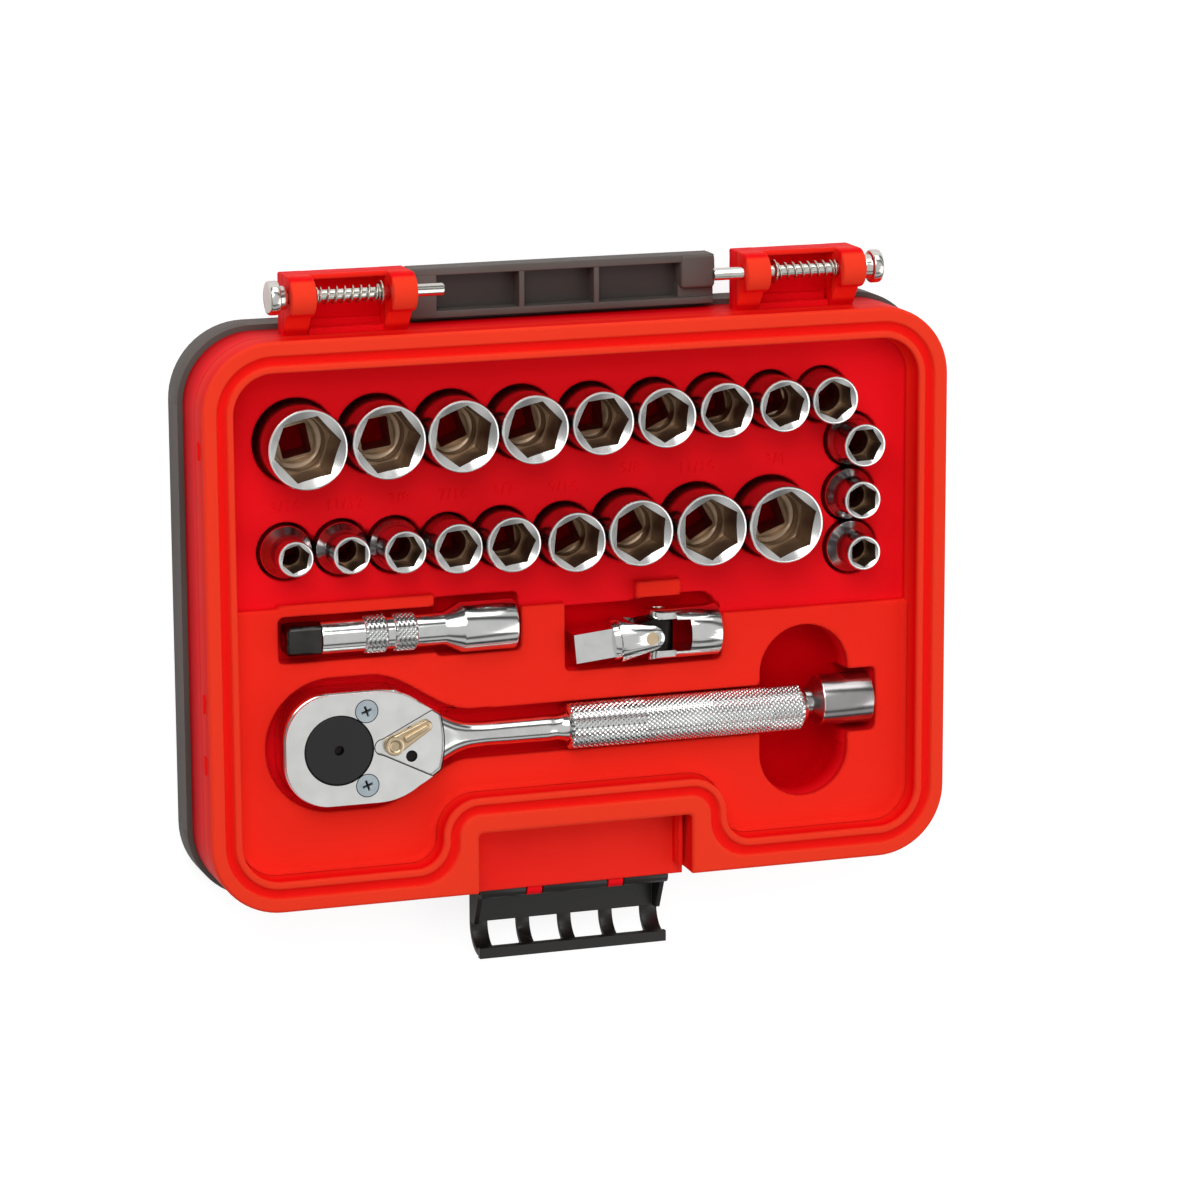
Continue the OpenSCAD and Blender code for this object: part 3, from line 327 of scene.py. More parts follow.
def make_mesh(name, points, faces, material, body, normals=None, sharp=None):
    """Puts points in millimetres and faces with equal corner counts into a mesh object that rides on a body."""
    mesh = bpy.data.meshes.new(name)
    mesh.vertices.add(len(points))
    mesh.vertices.foreach_set("co", (np.asarray(points, float) * MM).astype(np.float32).ravel())
    corners = np.concatenate([np.asarray(f, np.int32).ravel() for f in faces])
    sizes = np.concatenate([np.full(len(f), np.shape(f)[1], np.int32) for f in faces])
    mesh.loops.add(len(corners))
    mesh.loops.foreach_set("vertex_index", corners)
    mesh.polygons.add(len(sizes))
    mesh.polygons.foreach_set("loop_start", np.concatenate([[0], np.cumsum(sizes)[:-1]]).astype(np.int32))
    mesh.polygons.foreach_set("loop_total", sizes)
    mesh.update(calc_edges=True)
    mesh.validate()
    mesh.shade_smooth()
    if sharp is not None:
        mesh.set_sharp_from_angle(angle=math.radians(sharp))
    if normals is not None:
        mesh.normals_split_custom_set_from_vertices(normals.tolist())
    mesh.materials.append(material)
    piece = put(name, mesh)
    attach(piece, body)
    return piece


def area_normals(points, quads):
    """Vertex normals in which each face counts by its area, so that large flat faces stay flat."""
    a, b, c, d = (points[quads[:, i]] for i in range(4))
    cross = np.cross(c - a, d - b)
    total = np.zeros_like(points)
    for i in range(4):
        np.add.at(total, quads[:, i], cross)
    return total / np.maximum(np.linalg.norm(total, axis=1, keepdims=True), 1e-12)


def grid_quads(index):
    """The four corners of every cell, from a grid of point numbers."""
    return np.stack([index[:-1, :-1], index[:-1, 1:], index[1:, 1:], index[1:, :-1]], -1).reshape(-1, 4)


def moulded_field(name, spacing, edge_inset, level, grow, round_r, x_range, facing_up):
    """A height over x and y on a square grid: the lowest of the field's level and every pocket's drafted wall.
    Points near a wall slide along its slope onto lines of equal distance, so walls and roundings follow it."""
    xs = np.arange(x_range[0], x_range[1] + spacing / 2, spacing)
    ys = np.arange(-CASE_W / 2 + edge_inset - 2 * spacing, CASE_W / 2 - edge_inset + 3 * spacing, spacing)
    x, y = (v.ravel() for v in np.meshgrid(xs, ys))
    rim, _ = tray_outline(edge_inset)

    def distances(x, y):
        """Distance to every pocket's mouth, negative inside."""
        return np.array([f(x, y) - grow for f, _, _, _ in POCKETS])

    floors = np.array([p[1] for p in POCKETS])[:, None] - grow
    mouths = np.array([p[2] for p in POCKETS])[:, None]
    feet = np.array([p[3] for p in POCKETS])
    widths = (mouths - floors) * DRAFT

    def heights(d):
        """Height of every pocket's wall or floor at its distance."""
        return np.maximum(floors, mouths + d / DRAFT)

    # Which wall's top or foot lies nearest, and which way its distance grows
    d = distances(x, y)
    walls = np.minimum(heights(d), level)
    lowest, second = np.sort(walls, axis=0)[:2]
    around = np.where(walls <= lowest + 1e-9, second, lowest)
    live = around > floors + 0.4
    tops = (around - mouths) * DRAFT
    reach = np.where(live, np.minimum(np.abs(d - tops), np.abs(d + widths)), 1e9)
    near = np.argmin(reach, axis=0)
    pick = (near, np.arange(len(x)))
    d_near, top, width, foot = d[pick], tops[pick], widths[near, 0], feet[near]
    step = 1e-3
    gx = (distances(x + step, y)[pick] - d_near) / step
    gy = (distances(x, y + step)[pick] - d_near) / step
    scale = np.maximum(np.hypot(gx, gy), 1e-6)
    gx, gy = gx / scale, gy / scale
    rim_d = outline_distance(x, y, rim)
    rx = (outline_distance(x + step, y, rim) - rim_d) / step
    ry = (outline_distance(x, y + step, rim) - rim_d) / step
    # The three rows of points beside an edge slide onto it and its rounding, and take their heights from it
    out = d_near >= (top - width) / 2
    off = np.where(out, d_near - top, -width - d_near)
    rounding = np.where(out, round_r, foot)
    band = np.clip(np.floor(off / spacing), 0, 3).astype(int)
    bow = 1 - math.sqrt(0.5)
    none = np.zeros_like(rounding)
    offset = np.choose(band, [none, bow * rounding, rounding, np.maximum(off, rounding)])
    drop = np.choose(band, [rounding, bow * rounding, none, none])
    use_rim = np.abs(rim_d) < np.minimum(np.abs(off), 3 * spacing)
    slid = (reach[pick] < 1e7) & (off < 3 * spacing) & ~use_rim
    target = np.where(out, top + offset, -width - offset)
    move = np.where(slid, target - d_near, 0)
    nx, ny = x + gx * move, y + gy * move
    base = np.minimum(np.min(heights(distances(nx, ny)), axis=0), level)
    z = np.where(slid, np.where(out, around[pick] - drop, floors[near, 0] + drop), base)
    # Along the tray's rim the skin turns up in a round of its own
    rim_band = np.clip(np.floor(-rim_d / spacing), 0, 3).astype(int)
    rim_r = 1.4 if facing_up else 0.5
    lift = np.choose(rim_band, [rim_r, bow * rim_r, 0, 0])
    goal = np.choose(rim_band, [0, -bow * rim_r, -rim_r, rim_d])
    slide = np.where(use_rim, goal - rim_d, 0)
    nx, ny = nx + rx * slide, ny + ry * slide
    z = np.where(use_rim, base + lift, z)
    rows, cols = len(ys), len(xs)
    quads = grid_quads(np.arange(rows * cols).reshape(rows, cols))
    keep = (rim_d[quads] < spacing).all(axis=1) & (rim_d[quads] < 0).any(axis=1)
    quads = quads[keep]
    if not facing_up:
        quads = quads[:, ::-1]
    used, quads = np.unique(quads, return_inverse=True)
    points = np.stack([nx, ny, z], 1)[used]
    quads = quads.reshape(-1, 4)
    make_mesh(name, points, [quads], red_plastic, "base", area_normals(points, quads))


GRID, HALF = 0.62, 124
moulded_field("tray_floor_left", GRID, 10.75, PLATEAU, 0, 0.7, (-HALF, 0), True)
moulded_field("tray_floor_right", GRID, 10.75, PLATEAU, 0, 0.7, (0, HALF), True)
moulded_field("tray_underside", 1.3, 2.7, 24.4, 1.9, 0.5, (-123.5, 123.6), False)

# ---------------------------------------------------------------- red tray: wall and rim
# The outer wall with its flat band, the groove for the lid's tongue and the inner rim,
# carried once round the tray's edge and round the latch recess.
# How far in from the tray's edge, and how high
RIM_PROFILE = [(2.7, 24.6), (2.7, 13.0), (2.5, 12.3), (1.9, 12.0), (1.0, 12.0), (0.55, 12.1),
               (0.22, 12.45), (0.12, 13.1), (0.1, 14.0), (0.0, 37.7), (0.1, 38.3), (0.38, 38.75),
               (0.75, 38.95), (1.15, 39.0), (2.6, 39.0), (4.05, 39.0), (4.35, 38.93), (4.55, 38.75),
               (4.65, 38.45), (4.75, 37.9), (4.95, 37.55), (5.3, 37.42), (6.2, 37.4), (7.1, 37.42),
               (7.5, 37.55), (7.7, 37.9), (7.8, 38.4), (7.92, 38.75), (8.15, 38.94), (8.5, 39.0),
               (9.3, 39.0), (9.7, 38.92), (9.95, 38.65), (10.05, 38.2), (10.25, 36.0), (10.9, 27.8),
               (11.05, 26.2)]


def ring_quads(count, size, closed=False):
    """The corners of the faces between neighbouring rings; closed joins the last ring to the first."""
    index = np.arange(count * size).reshape(count, size)
    rows = np.concatenate([index, index[:1]]) if closed else index
    ahead = np.roll(rows, -1, axis=1)
    return np.stack([rows[:-1], ahead[:-1], ahead[1:], rows[1:]], -1).reshape(-1, 4)


def moulded_rings(name, rings, closed=False):
    """A red surface through equal rings of points."""
    rings = np.asarray(rings, float)
    quads = ring_quads(*rings.shape[:2], closed)[:, ::-1]
    points = rings.reshape(-1, 3)
    return make_mesh(name, points, [quads], red_plastic, "base", area_normals(points, quads))


rim_rings = []
for inset, height in RIM_PROFILE:
    edge, recessed = tray_outline(inset)
    # In the recess the wall's outer face ends just under the recess's floor
    in_recess = max(height, 26.6) if inset < 2 else height
    rim_rings.append(np.column_stack([edge, np.where(recessed, in_recess, height)]))
moulded_rings("tray_rim", rim_rings)

# ---------------------------------------------------------------- red tray: latch recess
# A step let into the front wall, so that the latch can reach over it: a floor with a
# lip in front that reaches over the latch's barrel, and a rib beside the right-hand wall.
# A lighter copy of the red plastic for the recess floor: painted light.
lit_recess_plastic = grained_plastic("red_polypropylene_recess_painted_light", "#FF3024", "#FA2820", 0.42, 0.5, 0.02)
lit_recess_plastic.node_tree.nodes["Principled BSDF"].inputs["Specular IOR Level"].default_value = 0.03
# Place in Y, and height
RECESS_PROFILE = [(-71.4, 27.9), (-71.7, 27.35), (-72.3, 27.05), (-73.0, 27.0), (-82.0, 27.0),
                  (-89.6, 27.0), (-93.6, 27.0), (-94.3, 26.95), (-94.6, 26.8), (-94.4, 26.62),
                  (-93.6, 26.6), (-91.95, 26.55), (-91.75, 26.2), (-91.75, 24.5), (-91.85, 14.0),
                  (-91.75, 12.6), (-91.4, 12.15), (-90.6, 12.0), (-89.6, 12.3), (-89.3, 13.2),
                  (-89.3, 24.4), (-73.5, 24.4), (-72.5, 25.0)]


def ribbon(name, profile, x_points, material, body, flip=False, ends=False):
    """A profile in Y and Z drawn out along X; with ends, a fan about its middle closes either outline."""
    profile = np.asarray(profile, float)
    x_points = np.asarray(x_points, float)
    count, size = len(x_points), len(profile)
    points = np.column_stack([np.repeat(x_points, size), np.tile(profile, (count, 1))])
    index = np.arange(count * size).reshape(count, size)
    quads = grid_quads(np.concatenate([index, index[:, :1]], 1) if ends else index)
    faces = [quads[:, ::-1] if flip else quads]
    if ends:
        middle = profile.mean(0)
        points = np.concatenate([points, [[x_points[0], *middle], [x_points[-1], *middle]]])
        fans = []
        for row, hub, turn in ((0, count * size, flip), (count - 1, count * size + 1, not flip)):
            ring = index[row]
            fan = np.stack([ring, np.roll(ring, -1), np.full(size, hub)], 1)
            fans.append(fan[:, ::-1] if not turn else fan)
        faces.append(np.concatenate(fans))
    return make_mesh(name, points, faces, material, body, None, 40 if ends else None)


ribbon("recess_floor", RECESS_PROFILE, np.linspace(-36.9, 36.9, 40), lit_recess_plastic, "base", flip=True)


def rounded_box(name, low, high, r, material, body):
    """A box with rounded edges: six sides of a cube pulled onto a box whose corners are parts of a sphere."""
    low, high = np.asarray(low, float), np.asarray(high, float)
    r = min(r, *((high - low) / 2.001))
    line = np.tan(np.radians([-45, -22.5, 0, 22.5, 45]))
    points, faces, base = [], [], 0
    for axis in range(3):
        for side in (-1, 1):
            u, v = (g.ravel() for g in np.meshgrid(line, line))
            direction = np.zeros((len(u), 3))
            direction[:, axis] = side
            direction[:, (axis + 1) % 3] = u * side
            direction[:, (axis + 2) % 3] = v
            unit = direction / np.linalg.norm(direction, axis=1, keepdims=True)
            corner = np.sign(np.round(direction, 6))
            centre = (low + high) / 2 + corner * ((high - low) / 2 - r)
            points.append(centre + unit * r)
            n = len(line)
            faces.append(grid_quads(base + np.arange(n * n).reshape(n, n)))
            base += n * n
    points, faces = np.concatenate(points), np.concatenate(faces)
    keys = np.round(points, 4)
    _, first, back = np.unique(keys, axis=0, return_index=True, return_inverse=True)
    points, faces = points[first], back.ravel()[faces]
    return make_mesh(name, points, [faces], material, body, area_normals(points, faces))


rounded_box("recess_rib", (33.4, -90.6, 26.0), (35.0, -72.5, 33.5), 0.6, red_plastic, "base")

# ---------------------------------------------------------------- red tray: hinge brackets
# Two lugs a side on a common floor, moulded with the back wall; a steel release pin
# runs through both.
HINGE_Y, HINGE_Z = 105.0, 34.0


def lug(name, x0, x1):
    """A plate with a bore: rings about the hinge's axis, whose outer edge is a circle that runs down into a
    square foot, and on the case's side into a gusset below a straight slope."""
    radius, foot, bore, edge = 6.4, 12.2, 2.1, 0.6
    slope_off, gusset_out = 3.2, 14.0
    angles = np.radians(np.arange(0, 360, 3.0) + 1.5)
    c, s = np.cos(angles), np.sin(angles)
    across, down = np.maximum(np.abs(c), 1e-6), np.maximum(-s, 1e-6)
    slope = slope_off / np.maximum(0.62 * -c + 0.785 * s, 1e-6)
    gusset = np.where(c < 0, np.minimum(slope, np.minimum(gusset_out / across, foot / down)), 0)
    square = np.minimum(radius / across, foot / down)
    reach = np.where(s < 0, np.maximum(square, gusset), radius)
    chamfer = 0.3
    near = [(bore, x0 + chamfer), (bore + chamfer, x0), (reach - edge, x0),
            (reach - 0.3 * edge, x0 + 0.3 * edge), (reach, x0 + edge)]
    sections = near + [(r, x0 + x1 - x) for r, x in reversed(near)]
    rings = [np.stack([np.full(len(c), x), HINGE_Y + r * c, HINGE_Z + r * s], 1) for r, x in sections]
    return moulded_rings(name, rings, closed=True)


for side, word in ((-1, "left"), (1, "right")):
    spans = [sorted((side * 55.0, side * 63.0)), sorted((side * 87.8, side * 95.8))]
    for place_word, (x0, x1) in zip(("inner", "outer"), spans):
        lug(f"{word}_{place_word}_lug", x0, x1)
    for part_word, near, far, low, high, edge in (
            ("floor", 55.0, 95.8, (90.4, 21.5), (111.4, 23.4), 0.9),
            ("back", 55.0, 95.8, (109.6, 21.5), (111.4, 31.5), 0.8),
            ("lower_step", 62.5, 87.5, (90.4, 21.6), (96.4, 24.6), 0.9),
            ("upper_step", 62.5, 87.5, (90.4, 21.6), (94.0, 28.0), 0.9)):
        x0, x1 = sorted((side * near, side * far))
        rounded_box(f"{word}_bracket_{part_word}", (x0, *low), (x1, *high), edge, red_plastic, "base")

# The latch hangs on a steel pin in two lugs at the front; small bumps on the end walls hold the closed lid.
LATCH_LUG = np.concatenate([[(-90.8, 21.5)], arc_points((-95.4, 24.0), 2.5, 270, 90), [(-90.8, 26.5)]])
for word, x in (("left", -14.0), ("right", 14.0)):
    ribbon(f"{word}_latch_lug", LATCH_LUG, (x - 2.5, x + 2.5), red_plastic, "base", ends=True)
for word, x in (("left", -124.9), ("right", 124.9)):
    for row, y in (("rear", 58), ("middle", -23), ("front", -43)):
        low, high = (x - 0.7, y - 3, 32), (x + 0.7, y + 3, 34)
        rounded_box(f"{word}_{row}_wall_bump", low, high, 0.4, red_plastic, "base")
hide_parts("tray_rim_left", "tray_rim_right", "rear_field_left", "rear_field_right",
            "middle_field_left", "middle_field_right", "tool_field_left", "tool_field_right", "left_bracket",
            "right_bracket")

# ---------------------------------------------------------------- red tray: raised size numbers
# Plain fractions moulded in low relief on the floor above the lower row of sockets.
# Text, and its middle in X and Y
NUMBERS = [("5/16", -95.9, 37.3), ("11/32", -76.5, 37.0), ("3/8", -58.5, 37.5), ("7/16", -40.4, 37.6),
           ("1/2", -23.7, 38.5), ("9/16", -3.5, 37.9), ("5/8", 19.4, 42.5), ("11/16", 41.9, 41.4),
           ("3/4", 69.3, 42.4)]
for text, x, y in NUMBERS:
    letters = bpy.data.curves.new("size_" + text.replace("/", "_"), "FONT")
    letters.body = text
    letters.size = 5.0 * MM
    letters.extrude = 0.16 * MM
    letters.bevel_depth = 0.05 * MM
    letters.offset = -0.05 * MM
    letters.space_character = 1.12
    letters.align_x = letters.align_y = "CENTER"
    drawn = put("drawn", letters)
    bpy.context.view_layer.update()
    relief = bpy.data.meshes.new_from_object(drawn)
    bpy.data.objects.remove(drawn)
    relief.transform(Matrix.Translation((x * MM, y * MM, (ZONE + 0.1) * MM)))
    relief.materials.clear()
    relief.materials.append(red_plastic)
    number = put("size_" + text.replace("/", "_"), relief)
    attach(number, "base")

# ---------------------------------------------------------------- steel pieces: finishes
# Nickel-chrome plating over polished steel: near-mirror, with the faint waviness and
# clouding of a barrel-polished forging.


def plated(name, darker, lighter, gloss, wave_mm, wave_depth):
    """Metal in two close tones, with clouded polish and a faint waviness."""
    return clouded(name, [(0.25, darker), (0.75, lighter)], (6, 4.0), (gloss - 0.03, gloss + 0.05),
                   (wave_mm, 0.25, wave_depth), {"Metallic": 1.0})


chrome = plated("polished_chrome", "#DEDFDE", "#EEEFED", 0.12, 2.5, 0.02)
satin_chrome = plated("satin_chrome", "#EDEDEA", "#F8F8F6", 0.24, 0.9, 0.02)
# A darker copy of the chrome for the sockets' walls: painted shade.
shaded_chrome = plated("shaded_chrome", "#A8A4A4", "#BDB9B9", 0.18, 2.5, 0.02)
# A dark copy of the chrome: painted shade on the extension's drive square.
painted_shade_chrome = plated("painted_shade_chrome", "#3C3A39", "#4C4948", 0.14, 2.5, 0.02)
hex_steel = plated("phosphated_steel", "#8F7A66", "#B8A189", 0.4, 1.2, 0.02)
zinc = plated("blue_zinc", "#B4C3CC", "#D2DCE0", 0.25, 0.8, 0.02)
brass_zinc = plated("yellow_zinc", "#C4AE8C", "#DDC9A8", 0.28, 1.0, 0.02)
spring_wire = plated("drawn_spring_wire", "#BEB9AE", "#D5D1C6", 0.22, 0.6, 0.01)
pin_steel = plated("nickel_plated_pin", "#D9D6CE", "#EAE8E2", 0.16, 2.0, 0.01)
# Blackened steel for the dark pins and gear parts, and also the painted shade of the cover's dark rings, dimple
# and screw recesses.
dark_steel_and_shade = plated("blackened_steel_and_painted_shade", "#1E1B1A", "#2C2827", 0.32, 0.8, 0.02)

# ---------------------------------------------------------------- release pins, clips and springs
# Each pin is turned with a broad head to pull on; its spring, coiled from round wire,
# pushes a small washer on the pin towards the middle of the case.


def turned(name, sections, axis, centre, material, body, mirror_x=False):
    """A lathe-turned piece: radius against place along X or Z, closed at both ends at its middle."""
    angles = np.linspace(0, 2 * np.pi, 64, endpoint=False)
    rings = []
    for radius, along in sections:
        a, b, s = radius * np.cos(angles), radius * np.sin(angles), np.full(64, float(along))
        ring = (s, centre[1] + a, centre[2] + b) if axis == "X" else (centre[0] + a, centre[1] + b, s)
        rings.append(np.stack(ring, 1))
    return capped(name, rings, material, body, mirror_x)


def capped(name, rings, material, body, mirror_x=False, sharp=38, slots=None, loop=False):
    """A closed surface through rings: fans close the ends, or the last ring joins the first. The sign of the
    volume turns the faces outwards. slots gives further materials, and for each ring the number of its own."""
    rings = np.asarray(rings, float) * ([-1, 1, 1] if mirror_x else 1)
    count, size = rings.shape[:2]
    points = rings.reshape(-1, 3)
    faces = [ring_quads(count, size, loop)]
    if not loop:
        points = np.concatenate([points, [rings[0].mean(0), rings[-1].mean(0)]])
        ring = np.arange(size)
        first = np.stack([np.roll(ring, -1), ring, np.full(size, count * size)], 1)
        ring = ring + (count - 1) * size
        last = np.stack([ring, np.roll(ring, -1), np.full(size, count * size + 1)], 1)
        faces.append(np.concatenate([first, last]))
    volume = 0.0
    for block in faces:
        for i in range(1, block.shape[1] - 1):
            a, b, c = points[block[:, 0]], points[block[:, i]], points[block[:, i + 1]]
            volume += np.einsum("ij,ij->", a, np.cross(b, c))
    if volume < 0:
        faces = [block[:, ::-1] for block in faces]
    piece = make_mesh(name, points, faces, material, body, None, sharp)
    if slots is not None:
        for extra in slots[0]:
            piece.data.materials.append(extra)
        per_ring = np.repeat(slots[1], size).astype(np.int32)
        tail = sum(len(block) for block in faces) - len(per_ring)
        piece.data.polygons.foreach_set("material_index", np.concatenate([per_ring, np.zeros(tail, np.int32)]))
    return piece


def coil(name, start, length, radius, wire, turns, material, body, mirror_x=False):
    """A round wire carried along a helix about X; the end turns lie flat."""
    count = int(turns * 28)
    share = np.linspace(0, 1, count)[:, None]
    around = 2 * np.pi * turns * share
    flat = 0.9 / turns
    pace = np.clip((share - flat) / (1 - 2 * flat), 0, 1)
    ring = np.linspace(0, 2 * np.pi, 12, endpoint=False)[None, :]
    r = radius + wire / 2 * np.cos(ring)
    x = start[0] + wire * 0.6 + (length - wire * 1.2) * pace + wire / 2 * np.sin(ring)
    y, z = start[1] + r * np.cos(around), start[2] + r * np.sin(around)
    return capped(name, np.stack([x, y, z], -1), material, body, mirror_x)


# Radius, and place along the pin
PIN_SECTIONS = [(1.3, 45.0), (1.75, 45.15), (2.0, 45.6), (2.0, 96.52), (3.4, 96.55), (3.8, 96.65),
                (3.9, 96.9), (3.9, 98.55), (4.0, 98.75), (4.9, 98.85), (5.25, 99.05), (5.4, 99.4),
                (5.4, 101.3), (5.3, 101.85), (5.05, 102.2), (4.6, 102.35), (1.5, 102.4)]
WASHER_SECTIONS = [(2.02, 65.5), (3.8, 65.5), (3.95, 65.6), (3.95, 65.9), (3.8, 66.0), (2.02, 66.0)]
HINGE_AXIS = (0, HINGE_Y, HINGE_Z)
for side, word in ((-1, "left"), (1, "right")):
    pin = turned(f"{word}_release_pin", PIN_SECTIONS, "X", HINGE_AXIS, pin_steel, f"{word}_pin", side < 0)
    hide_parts(f"{word}_hinge_pin")
    spring = coil(f"{word}_release_spring", (66.1, HINGE_Y, HINGE_Z), 20.9, 2.62, 0.66, 9.5, spring_wire,
                  "base", side < 0)
    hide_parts(f"{word}_pin_spring")
    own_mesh(spring)
    washer = turned(f"{word}_retaining_washer", WASHER_SECTIONS, "X", HINGE_AXIS, spring_wire, f"{word}_pin",
                    side < 0)
    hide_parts(f"{word}_pin_clip")

# ---------------------------------------------------------------- sockets
# Forged steel, turned, broached and plated. Each stands on its drive end in the tray,
# with its six-sided mouth up; the size is told from the mouth. Inside, the broached
# flats are dark from the plating bath.
AROUND = np.linspace(0, 360, 96, endpoint=False)


def hexagon(across):
    """Radius of a hexagon, by its width across flats, at every step of the turn; a corner lies at angle 0."""
    return across / 2 / np.cos(np.radians(AROUND % 60 - 30))


def square_hole(side, corner=0.35):
    """Radius of a square with slightly broken corners; a flat lies at angle 0."""
    reach = side / 2 / np.cos(np.radians((AROUND + 45) % 90 - 45))
    return np.minimum(reach, side / math.sqrt(2) - corner)


def socket_rings(af, d, length, neck, slope, end_d, hex_l, bore_d):
    """Radii and heights round the wall of a socket, and for each band 0 for a bright finish, 1 for a broached
    face, 2 for the satin mouth and 3 for the wall darkened with painted shade: drive end, shoulder, mouth with its
    cone cutting the six flats in scallops, hexagon, bore and drive square."""
    r, end_r, bore_r = d / 2, end_d / 2, bore_d / 2
    flats, drive = hexagon(af + 0.2), square_hole(DRIVE_HOLE)
    top_r = r - 0.75
    fall = 1.8
    one = np.ones_like(AROUND)
    bands = [(drive + 0.45, 0, 0), (end_r - 1.4, 0, 0), (end_r - 0.6, 0, 0), (end_r - 0.2, 0.18, 0),
             (end_r, 0.6, 3), (end_r, neck - slope - 0.5, 0), (end_r - 0.15, neck - slope - 0.15, 0),
             (end_r + (r - end_r) * 0.1, neck - slope, 3), (end_r + (r - end_r) * 0.9, neck - 0.12, 3),
             (r, neck + 0.3, 3), (r, length - 0.6, 0), (r - 0.08, length - 0.3, 0),
             (r - 0.25, length - 0.08, 0), (r - 0.45, length, 2), (top_r, length, 2)]
    for share in (0.35, 0.7, 1.0):
        reach = top_r + (np.minimum(flats, top_r) - top_r) * share
        bands.append((reach, length - (top_r - reach) / fall, 2))
    mouth = length - (top_r - np.minimum(flats, top_r)) / fall
    bands[-1] = (bands[-1][0], bands[-1][1], 1)
    bands += [(flats, mouth - 0.12, 1), (flats, length - hex_l + 0.25, 1), (flats - 0.2, length - hex_l, 1)]
    # The floor of the broached hexagon, with a shallow turned groove
    for share in (0.35, 0.45, 0.8, 0.9):
        edge = flats - 0.2 + (bore_r + 0.15 - flats + 0.2) * share
        bands.append((edge, length - hex_l - (0.1 if share in (0.45, 0.8) else 0.0), 1))
    ledge = 11.0
    bands += [(bore_r + 0.15, length - hex_l, 1), (bore_r, length - hex_l - 0.25, 1), (bore_r, ledge + 0.2, 1)]
    # The ledge round the drive square, with shallow grooves where it is wide enough
    if bore_r > drive.min() + 0.8:
        for share, sink in ((0.2, 0.0), (0.3, 0.12), (0.5, 0.12), (0.6, 0.0), (0.75, 0.0), (0.8, 0.1)):
            bands.append((bore_r + (np.minimum(drive, bore_r - 0.05) - bore_r) * share, ledge - sink, 1))
    bands += [(drive, ledge - 0.05, 1), (drive, 0.5, 1)]
    return [(one * radius, one * height) for radius, height, _ in bands], [mark for _, _, mark in bands]


DRIVE_HOLE = 9.75
for name, (af, d, length, sx, sy, turn) in SOCKETS.items():
    # The small ones keep the drive end's diameter below a long shoulder, the others step out a little
    if d < DRIVE_END:
        neck, slope, end_d, hex_l, bore = length - 10, 1.8, DRIVE_END, 9.0, 0.88 * af
    else:
        neck, slope, end_d, hex_l, bore = length - 15.5, 1.2, max(DRIVE_END, d - 2.6), length * 0.45, 0.92 * af
    rings, marks = socket_rings(af, d, length, neck, slope, end_d, hex_l, bore)
    angle = np.radians(AROUND + turn)
    shape = [np.stack([sx + r * np.cos(angle), sy + r * np.sin(angle), SEAT + h], 1) for r, h in rings]
    piece = capped(name + "_forging", shape, chrome, name + "_body", sharp=24, loop=True,
                   slots=([hex_steel, satin_chrome, shaded_chrome], marks))
    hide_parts(name)

# ---------------------------------------------------------------- sockets: the smallest, lying
# The quarter-inch socket lies beyond the handle's end with its nose towards it.
NOSE_X, DRIVE_X, SMALL_Y, SMALL_Z = 78.3, 102.3, -40.1, 26.0
rings, marks = socket_rings(6.35, 9.8, DRIVE_X - NOSE_X, 20.5, 2.4, DRIVE_END, 8.0, 5.6)
angle = np.radians(AROUND)
shape = [np.stack([DRIVE_X - h, SMALL_Y + r * np.sin(angle), SMALL_Z + r * np.cos(angle)], 1) for r, h in rings]
piece = capped("socket_quarter_forging", shape, chrome, "socket_1_4in_body", sharp=24, loop=True,
               slots=([hex_steel, satin_chrome, shaded_chrome], marks))
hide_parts("socket_1_4in")

# ---------------------------------------------------------------- ratchet: forged body
# A flat head with cheeks that run into a round neck, and a knurled handle. The head is
# hollow for the gear and pawl; its cover plate, disc, lever and screws sit on top.
# The shoulders' half width falls along X
SHOULDER_X = [-64, -61, -57, -53, -48, -43, -39, -36, -30]
SHOULDER_Y = [18.3, 16.8, 14.5, 12.0, 8.6, 5.9, 4.7, 4.3, 4.2]


def head_distance(x, y):
    """Distance to the head's edge about its own axis, negative inside: a box with a round nose, arcs for
    cheeks, shoulders that fall to the neck, and a round end about the gear's axis."""
    side = np.abs(y)
    nose = box_distance(x, y, -100.6, -50, -18.6, 18.6, (15, 0, 0, 15))
    cheek = np.hypot(x + 69.5, side + 3.6) - 22.2
    fall = np.interp(x, SHOULDER_X, SHOULDER_Y)
    shoulder = np.maximum((side - fall) * 0.82, -64 - x)
    joined = np.minimum(np.where(x < -69.5, nose, cheek), shoulder)
    return np.maximum(joined, np.hypot(x - HEAD_X, y) - 35.2)


def turn_steps(steps):
    """Angles evenly round one turn."""
    return np.radians(np.linspace(0, 360, steps, endpoint=False))


def flat_ring(x, y, reach, angles, height):
    """Points at one height about an upright axis, from their reach at each angle."""
    one = np.ones_like(angles)
    return np.stack([x + reach * one * np.cos(angles), y + reach * one * np.sin(angles), height * one], 1)


def edge_ring(distance, x0, inset, height, angles, longest):
    """The points where rays from a place on the ratchet's axis cross an edge moved inwards, by halving."""
    near, far = np.zeros(len(angles)), np.full(len(angles), longest)
    for _ in range(34):
        reach = (near + far) / 2
        outside = distance(x0 + reach * np.cos(angles), reach * np.sin(angles)) > -inset
        near, far = np.where(outside, near, reach), np.where(outside, reach, far)
    return flat_ring(x0, RATCHET_Y, near, angles, height)


HEAD_STEPS = turn_steps(240)


def hollow_ring(radius, pawl_radius, height):
    """A circle about the gear's axis, joined on the handle's side by the pawl's round pocket."""
    angles = HEAD_STEPS
    apart = 13.3
    inside = pawl_radius ** 2 - (apart * np.sin(angles)) ** 2
    pocket = apart * np.cos(angles) + np.sqrt(np.maximum(inside, 0))
    reach = np.where((inside > 0) & (np.cos(angles) > 0), np.maximum(radius, pocket), radius)
    return flat_ring(HEAD_X, RATCHET_Y, reach, angles, height)


